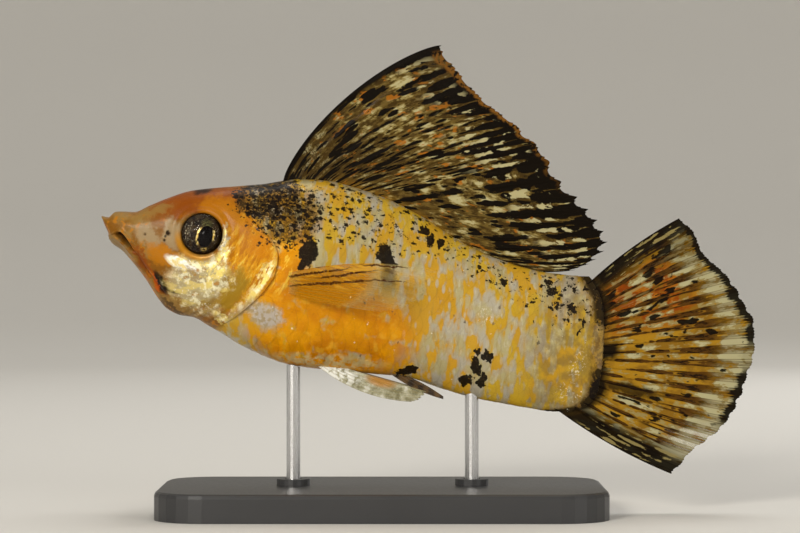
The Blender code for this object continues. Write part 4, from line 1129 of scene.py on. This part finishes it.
def pectoralFinish():
    # amber membrane, clear at its end, with dark rays and painted golden sheen in its upper part, a dusky bar
    # of painted shadow across it and a few painted glints
    finish = Finish("side_fin_membrane", {"IOR": 1.33, "Specular IOR Level": 0.1})
    lane, v, _ = finish.map("rays")
    ray, place = finish.stored("ray"), finish.place()
    wobble = finish.stirred(place, place, 0.8, 1.2, 2, 0.6)
    inked = greatest(finish.patch(wobble, x, z, halfX * 1.1, halfZ * 0.8, tilt, 0.45)
                     for x, z, halfX, halfZ, tilt in pectoral["inked"])
    inked = inked * finish.noise(place, 0.3, 2).between(0.30, 0.46)
    amber = v.between(0.80, 0.66) * v.between(0.11, 0.30)
    colour = finish.mix(amber, finTints["clearEnd"], finTints["amber"])
    # painted golden sheen along the upper rays
    sheen = finish.noise(finish.scaled(place, 0.15, 0.3, 1.1), 1.0, 2, 0.6).between(0.50, 0.62)
    goldSheen = sheen * lane.between(5.0, 3.0)
    colour = finish.mix(goldSheen * 0.7, colour, finTints["sheen"])
    # painted shadow: a dusky bar across the fin, strongest at its top
    bar = finish.patch(wobble, 53.2, 0.6, 1.3, 4.6, 14, 0.6)
    bar = bar * lane.between(6.5, 1.0) * (0.85 + sheen * 0.25)
    colour = finish.mix(bar * 0.9, colour, finTints["bar"])
    colour = finish.mix(inked, colour, finTints["ink"])
    # a few painted glints along one ray
    spark = finish.cells(finish.scaled(place, 1.1, 0.5, 0.7), 1.0, 1.0)
    spark = (0.13 - spark).between(-0.03, 0.04) * finish.patch(place, 50.2, -2.2, 3.2, 0.7, 16, 0.5)
    colour = finish.mix(spark, colour, finTints["spark"])
    solid = amber * 0.50 + (ray * 0.09 + 0.06) * v.between(0.11, 0.30) + goldSheen * amber * 0.25
    solid = solid + bar * 0.55
    finish.give(BaseColor=colour, Alpha=solid.most(inked * 0.95).most(spark).least(1.0), Roughness=0.35)
    return finish


def pelvicFinish():
    finish = Finish("belly_fin_membrane", {"IOR": 1.35, "Coat Weight": 0.35, "Coat Roughness": 0.12})
    ray, place = finish.stored("ray"), finish.place()
    pearl = finish.noise(place, 1.4, 3, 0.6)
    colour = finish.mix(pearl.between(0.38, 0.56), finTints["pearlDark"], finTints["pearl"])
    colour = finish.mix(pearl.between(0.56, 0.66), colour, finTints["pearlPale"])
    colour = finish.mix(finish.patch(place, 56.0, -16.3, 2.2, 0.9, 0, 0.6) * 0.9, colour, finTints["blush"])
    # pale pearly lumps at the root, with a painted highlight on them
    lumps = (finish.patch(place, 47.6, -17.3, 4.0, 1.6, 4, 0.5)
             * finish.noise(place, 0.9, 2).between(0.38, 0.54))
    colour = finish.mix(lumps, colour, finTints["lumps"])
    colour = finish.mix(ray * 0.35, colour, finTints["bellyRay"])
    finish.give(BaseColor=colour, Alpha=(ray * 0.3 + 0.6 + lumps * 0.3).least(1.0), Roughness=0.3)
    return finish


def analFinish():
    finish = Finish("rod_fin_skin", {"IOR": 1.35, "Coat Weight": 0.3, "Coat Roughness": 0.2})
    _, v, _ = finish.map("rays")
    place = finish.place()
    joints = (v * 26).fract().between(0.35, 0.5) * v.between(0.2, 0.35)
    colour = finish.mix(finish.noise(place, 1.6, 2).between(0.4, 0.6), finTints["rodDark"],
                        finTints["rodBrown"])
    finish.give(BaseColor=colour, Roughness=0.4, Normal=finish.bump(joints, 0.5, 0.0001))
    return finish


sail, tail, sideFin, bellyFin, rodFin = (
    sailFinish(), tailFinish(), pectoralFinish(), pelvicFinish(), analFinish())
makeFin("sail_fin", dorsal, dorsalPoint, sail, ("dorsal_fin",), 5)
makeFin("tail_fin", caudal, caudalPoint, tail, ("caudal_fin",), 6)
makeFin("rod_fin", anal, analPoint, rodFin, ("anal_fin",), 7)
for side, word in ((-1, "left"), (1, "right")):
    makeFin("side_fin_" + word, pectoral, pectoralPoint(side), sideFin, ("pectoral_fin_" + word,),
            8)
    makeFin("belly_fin_" + word, pelvic, pelvicPoint(side), bellyFin, ("pelvic_fin_" + word,), 9)
print("fins ready")

# Eyes: a globe with a sunken iris and a raised lens, under a clear cornea
eye = dict(centre=(18.7, 4.7, 1.35), half=(4.1, 2.9, 4.1), forward=math.radians(7), iris=3.55,
           pupil=(0.95, -0.35), pupilHalf=(1.24, 1.90), lens=0.5, segments=96, rings=72)


def eyeFinish():
    # UV map "iris" holds millimetres from the eye's axis: back, and up
    finish = Finish("iris", {"IOR": 1.33, "Specular IOR Level": 0.1})
    back, up, _ = finish.map("iris")
    flat = finish.join(back, up)
    radius = finish.length(flat)
    local = finish.node("ShaderNodeMapping", dict(vector_type="TEXTURE"), {
        "Vector": flat, "Location": (*eye["pupil"], 0), "Scale": (*eye["pupilHalf"], 1)})
    fromPupil = finish.length(local)
    fleck = finish.noise(flat, 0.24, 2, 0.6)
    colour = finish.mix(finish.noise(flat, 1.1, 3).between(0.38, 0.62), tints["irisBlack"],
                        tints["irisBrown"])
    flecks = finish.spot(flat, -2.4, -0.5, 0.9, 2.0, 0.6)
    colour = finish.mix((fleck + flecks * 0.08).between(0.655, 0.70) * 0.95, colour, tints["fleck"])
    flecks = finish.spot(flat, 0.6, 2.0, 0.9, 0.7, 0.6)
    colour = finish.mix(flecks * fleck.between(0.44, 0.62) * 0.6, colour, tints["greenFleck"])
    outer = radius.between(2.9, 3.7)
    colour = finish.mix(outer * 0.7, colour, tints["irisEdge"])
    ring = fromPupil.between(1.00, 1.08) * fromPupil.between(1.42, 1.24)
    lit = greatest((finish.spot(flat, -0.5, -0.5, 0.9, 1.5, 0.4),
                    finish.spot(flat, 2.45, 0.3, 0.6, 0.9, 0.4) * 0.8,
                    finish.spot(flat, 1.4, -2.7, 0.6, 0.5, 0.5) * 0.6))
    broken = lit * finish.noise(flat, 0.55, 3, 0.65).between(0.42, 0.50)
    colour = finish.mix(ring * broken, colour, tints["ringGold"])
    colour = finish.mix(ring * broken * fleck.between(0.5, 0.6), colour, tints["ringPale"])
    pupil = fromPupil.between(1.08, 1.0)
    colour = finish.mix(pupil, colour, tints["pupil"])
    finish.give(BaseColor=colour, Roughness=0.38 - pupil * 0.28, Metallic=ring * broken * 0.5,
                Normal=finish.bump(fleck * (1 - pupil), 0.2, 0.0001))
    return finish


def corneaFinish():
    # lets the iris show through and mirrors the lights
    finish = Finish("clear_cornea", {})
    tree = finish.tree
    mirror = finish.node("ShaderNodeBsdfGlossy", {}, {"Color": (1, 1, 1), "Roughness": 0.03})
    clear = finish.node("ShaderNodeBsdfTransparent", {}, {"Color": (1, 1, 1)})
    edge = finish.node("ShaderNodeFresnel", {}, {"IOR": 1.18})
    both = finish.node("ShaderNodeMixShader", {}, {0: edge, 1: clear, 2: mirror})
    out = [n for n in tree.nodes if n.type == "OUTPUT_MATERIAL"][0]
    tree.nodes.remove(finish.shader)
    tree.links.new(both.socket, out.inputs["Surface"])
    return finish


def eyeBall(name, shape):
    # a fine ball whose pole looks outwards, with shape(back, up, out) moving its points
    bm = bmesh.new()
    bmesh.ops.create_uvsphere(bm, u_segments=eye["segments"], v_segments=eye["rings"], radius=1)
    bmesh.ops.rotate(bm, matrix=Matrix.Rotation(-math.pi / 2, 3, "X"), verts=bm.verts)
    mesh = bpy.data.meshes.new(name)
    bm.to_mesh(mesh)
    bm.free()
    unit = readPoints(mesh)
    return mesh, shape(unit * np.array(eye["half"]))


def placeEye(mesh, local, side):
    # turns the eye forwards and sets it in its socket
    c, s = math.cos(eye["forward"]), math.sin(eye["forward"])
    back, out, up = local.T
    x = back * c - out * s + eye["centre"][0]
    y = side * (out * c + back * s + eye["centre"][1])
    setPoints(mesh, toModel(np.stack([x, y, up + eye["centre"][2]], -1)))
    addMap(mesh, "iris", np.stack([back, up], -1))
    clean(mesh)


def irisShape(local):
    back, out, up = local.T
    radius = np.hypot(back, up)
    inner = radius < eye["iris"]
    rimOut = eye["half"][1] * math.sqrt(1 - (eye["iris"] / eye["half"][0]) ** 2)
    iris = rimOut - 0.12 + 0.30 * (1 - radius / eye["iris"])
    fromPupil = np.hypot((back - eye["pupil"][0]) / eye["pupilHalf"][0],
                         (up - eye["pupil"][1]) / eye["pupilHalf"][1])
    lens = eye["lens"] * np.sqrt(np.clip(1 - fromPupil ** 2, 0, 1))
    sunk = np.where(inner & (out > 0), iris + lens, out * 0.985)
    return np.stack([back * 0.985, sunk, up * 0.985], -1)


irisLook, corneaLook = eyeFinish(), corneaFinish()
for side, word in ((-1, "left"), (1, "right")):
    mesh, local = eyeBall("iris_" + word, irisShape)
    placeEye(mesh, local, side)
    shown("iris_" + word, mesh, irisLook, ("eye_" + word,), 60)
    mesh, local = eyeBall("cornea_" + word, lambda points: points)
    placeEye(mesh, local, side)
    shown("cornea_" + word, mesh, corneaLook, ("eye_" + word,), 60)
print("eyes ready")


# Stand
def plateFinish():
    finish = Finish("satin_plate", {"Coat Weight": 0.15, "Coat Roughness": 0.3})
    coords = finish.node("ShaderNodeTexCoord", {}, {}, 3)
    grain = finish.noise(coords, 0.0006, 3, 0.6)
    finish.give(BaseColor=finish.mix(finish.noise(coords, 0.02, 2), (0.020, 0.020, 0.022),
                                     (0.034, 0.034, 0.036)),
                Roughness=grain * 0.16 + 0.34, Normal=finish.bump(grain, 0.25, 0.00006))
    return finish


def rodFinish():
    finish = Finish("brushed_rod", {"Metallic": 1.0})
    coords = finish.node("ShaderNodeTexCoord", {}, {}, 3)
    brushed = finish.noise(finish.scaled(coords, 1, 1, 0.04), 0.00012, 2)
    finish.give(BaseColor=finish.mix(brushed, (0.52, 0.52, 0.53), (0.68, 0.68, 0.69)),
                Roughness=brushed * 0.2 + 0.18, Normal=finish.bump(brushed, 0.12, 0.00003))
    return finish


def dress(node, finish):
    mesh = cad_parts[node].data
    mesh.materials.clear()
    mesh.materials.append(finish.material)


plateLook, rodLook = plateFinish(), rodFinish()
dress("stand_base", plateLook)
dress("stand_rod_front", rodLook)
dress("stand_rod_rear", rodLook)
print("stand ready")

# Studio: a pale floor that curves up all round, soft lamps and the photo's view
studio = dict(
    floor=((0, 0), (0.75, 0), (0.95, 0.015), (1.15, 0.07), (1.35, 0.19), (1.5, 0.40), (1.58, 0.70),
           (1.6, 1.3)),
    pale=(0.70, 0.68, 0.64), air=(1.0, 0.97, 0.92), airStrength=0.24,
    lamps=(("key", (-0.55, -1.05, 0.50), 0.36, 9.6, (1.0, 0.96, 0.88)),
           ("fill", (0.90, -0.85, 0.30), 0.7, 3.5, (1.0, 0.98, 0.94)),
           ("top", (0.10, 0.30, 1.10), 0.7, 5.0, (1.0, 0.98, 0.94)),
           ("rim", (0.42, 0.55, 0.30), 0.3, 1.0, (1.0, 1.0, 1.0))),
    camera=(-0.00531, -0.5, 0.04437), lens=125.0)


def makeFloor():
    bm = bmesh.new()
    verts = [bm.verts.new((r, 0, h)) for r, h in studio["floor"]]
    edges = [bm.edges.new(pair) for pair in zip(verts, verts[1:])]
    bmesh.ops.spin(bm, geom=verts + edges, cent=(0, 0, 0), axis=(0, 0, 1), angle=math.tau, steps=96,
                   use_merge=True)
    bmesh.ops.remove_doubles(bm, verts=bm.verts, dist=1e-5)
    bmesh.ops.recalc_face_normals(bm, faces=bm.faces)
    if sum(f.normal.z for f in bm.faces) < 0:
        bmesh.ops.reverse_faces(bm, faces=bm.faces)
    mesh = bpy.data.meshes.new("floor")
    bm.to_mesh(mesh)
    bm.free()
    mesh.shade_smooth()
    finish = Finish("pale_floor", {"Roughness": 0.75, "Specular IOR Level": 0.2})
    coords = finish.node("ShaderNodeTexCoord", {}, {}, 3)
    tone = finish.noise(coords, 0.3, 2)
    finish.give(BaseColor=finish.mix(tone * 0.3, studio["pale"], (0.68, 0.675, 0.66)))
    mesh.materials.append(finish.material)
    floor = bpy.data.objects.new("floor", mesh)
    bpy.context.scene.collection.objects.link(floor)


def makeLamps():
    for name, place, size, power, tint in studio["lamps"]:
        data = bpy.data.lights.new(name, "AREA")
        data.shape = "DISK"
        data.size = size
        data.energy = power
        data.color = tint
        lamp = bpy.data.objects.new(name, data)
        lamp.location = place
        aim = Vector((0, 0, 0.045)) - Vector(place)
        lamp.rotation_euler = aim.to_track_quat("-Z", "Y").to_euler()
        bpy.context.scene.collection.objects.link(lamp)
    world = bpy.data.worlds.new("air")
    world.use_nodes = True
    sky = world.node_tree.nodes["Background"]
    sky.inputs["Color"].default_value = (*studio["air"], 1)
    sky.inputs["Strength"].default_value = studio["airStrength"]
    bpy.context.scene.world = world


def makeCamera():
    data = bpy.data.cameras.new("camera")
    data.lens = studio["lens"]
    data.clip_start = 0.01
    camera = bpy.data.objects.new("camera", data)
    camera.location = studio["camera"]
    camera.rotation_euler = (math.pi / 2, 0, 0)
    bpy.context.scene.collection.objects.link(camera)
    bpy.context.scene.camera = camera


makeFloor()
makeLamps()
makeCamera()
bpy.context.scene.view_settings.view_transform = "Standard"
print("studio ready")
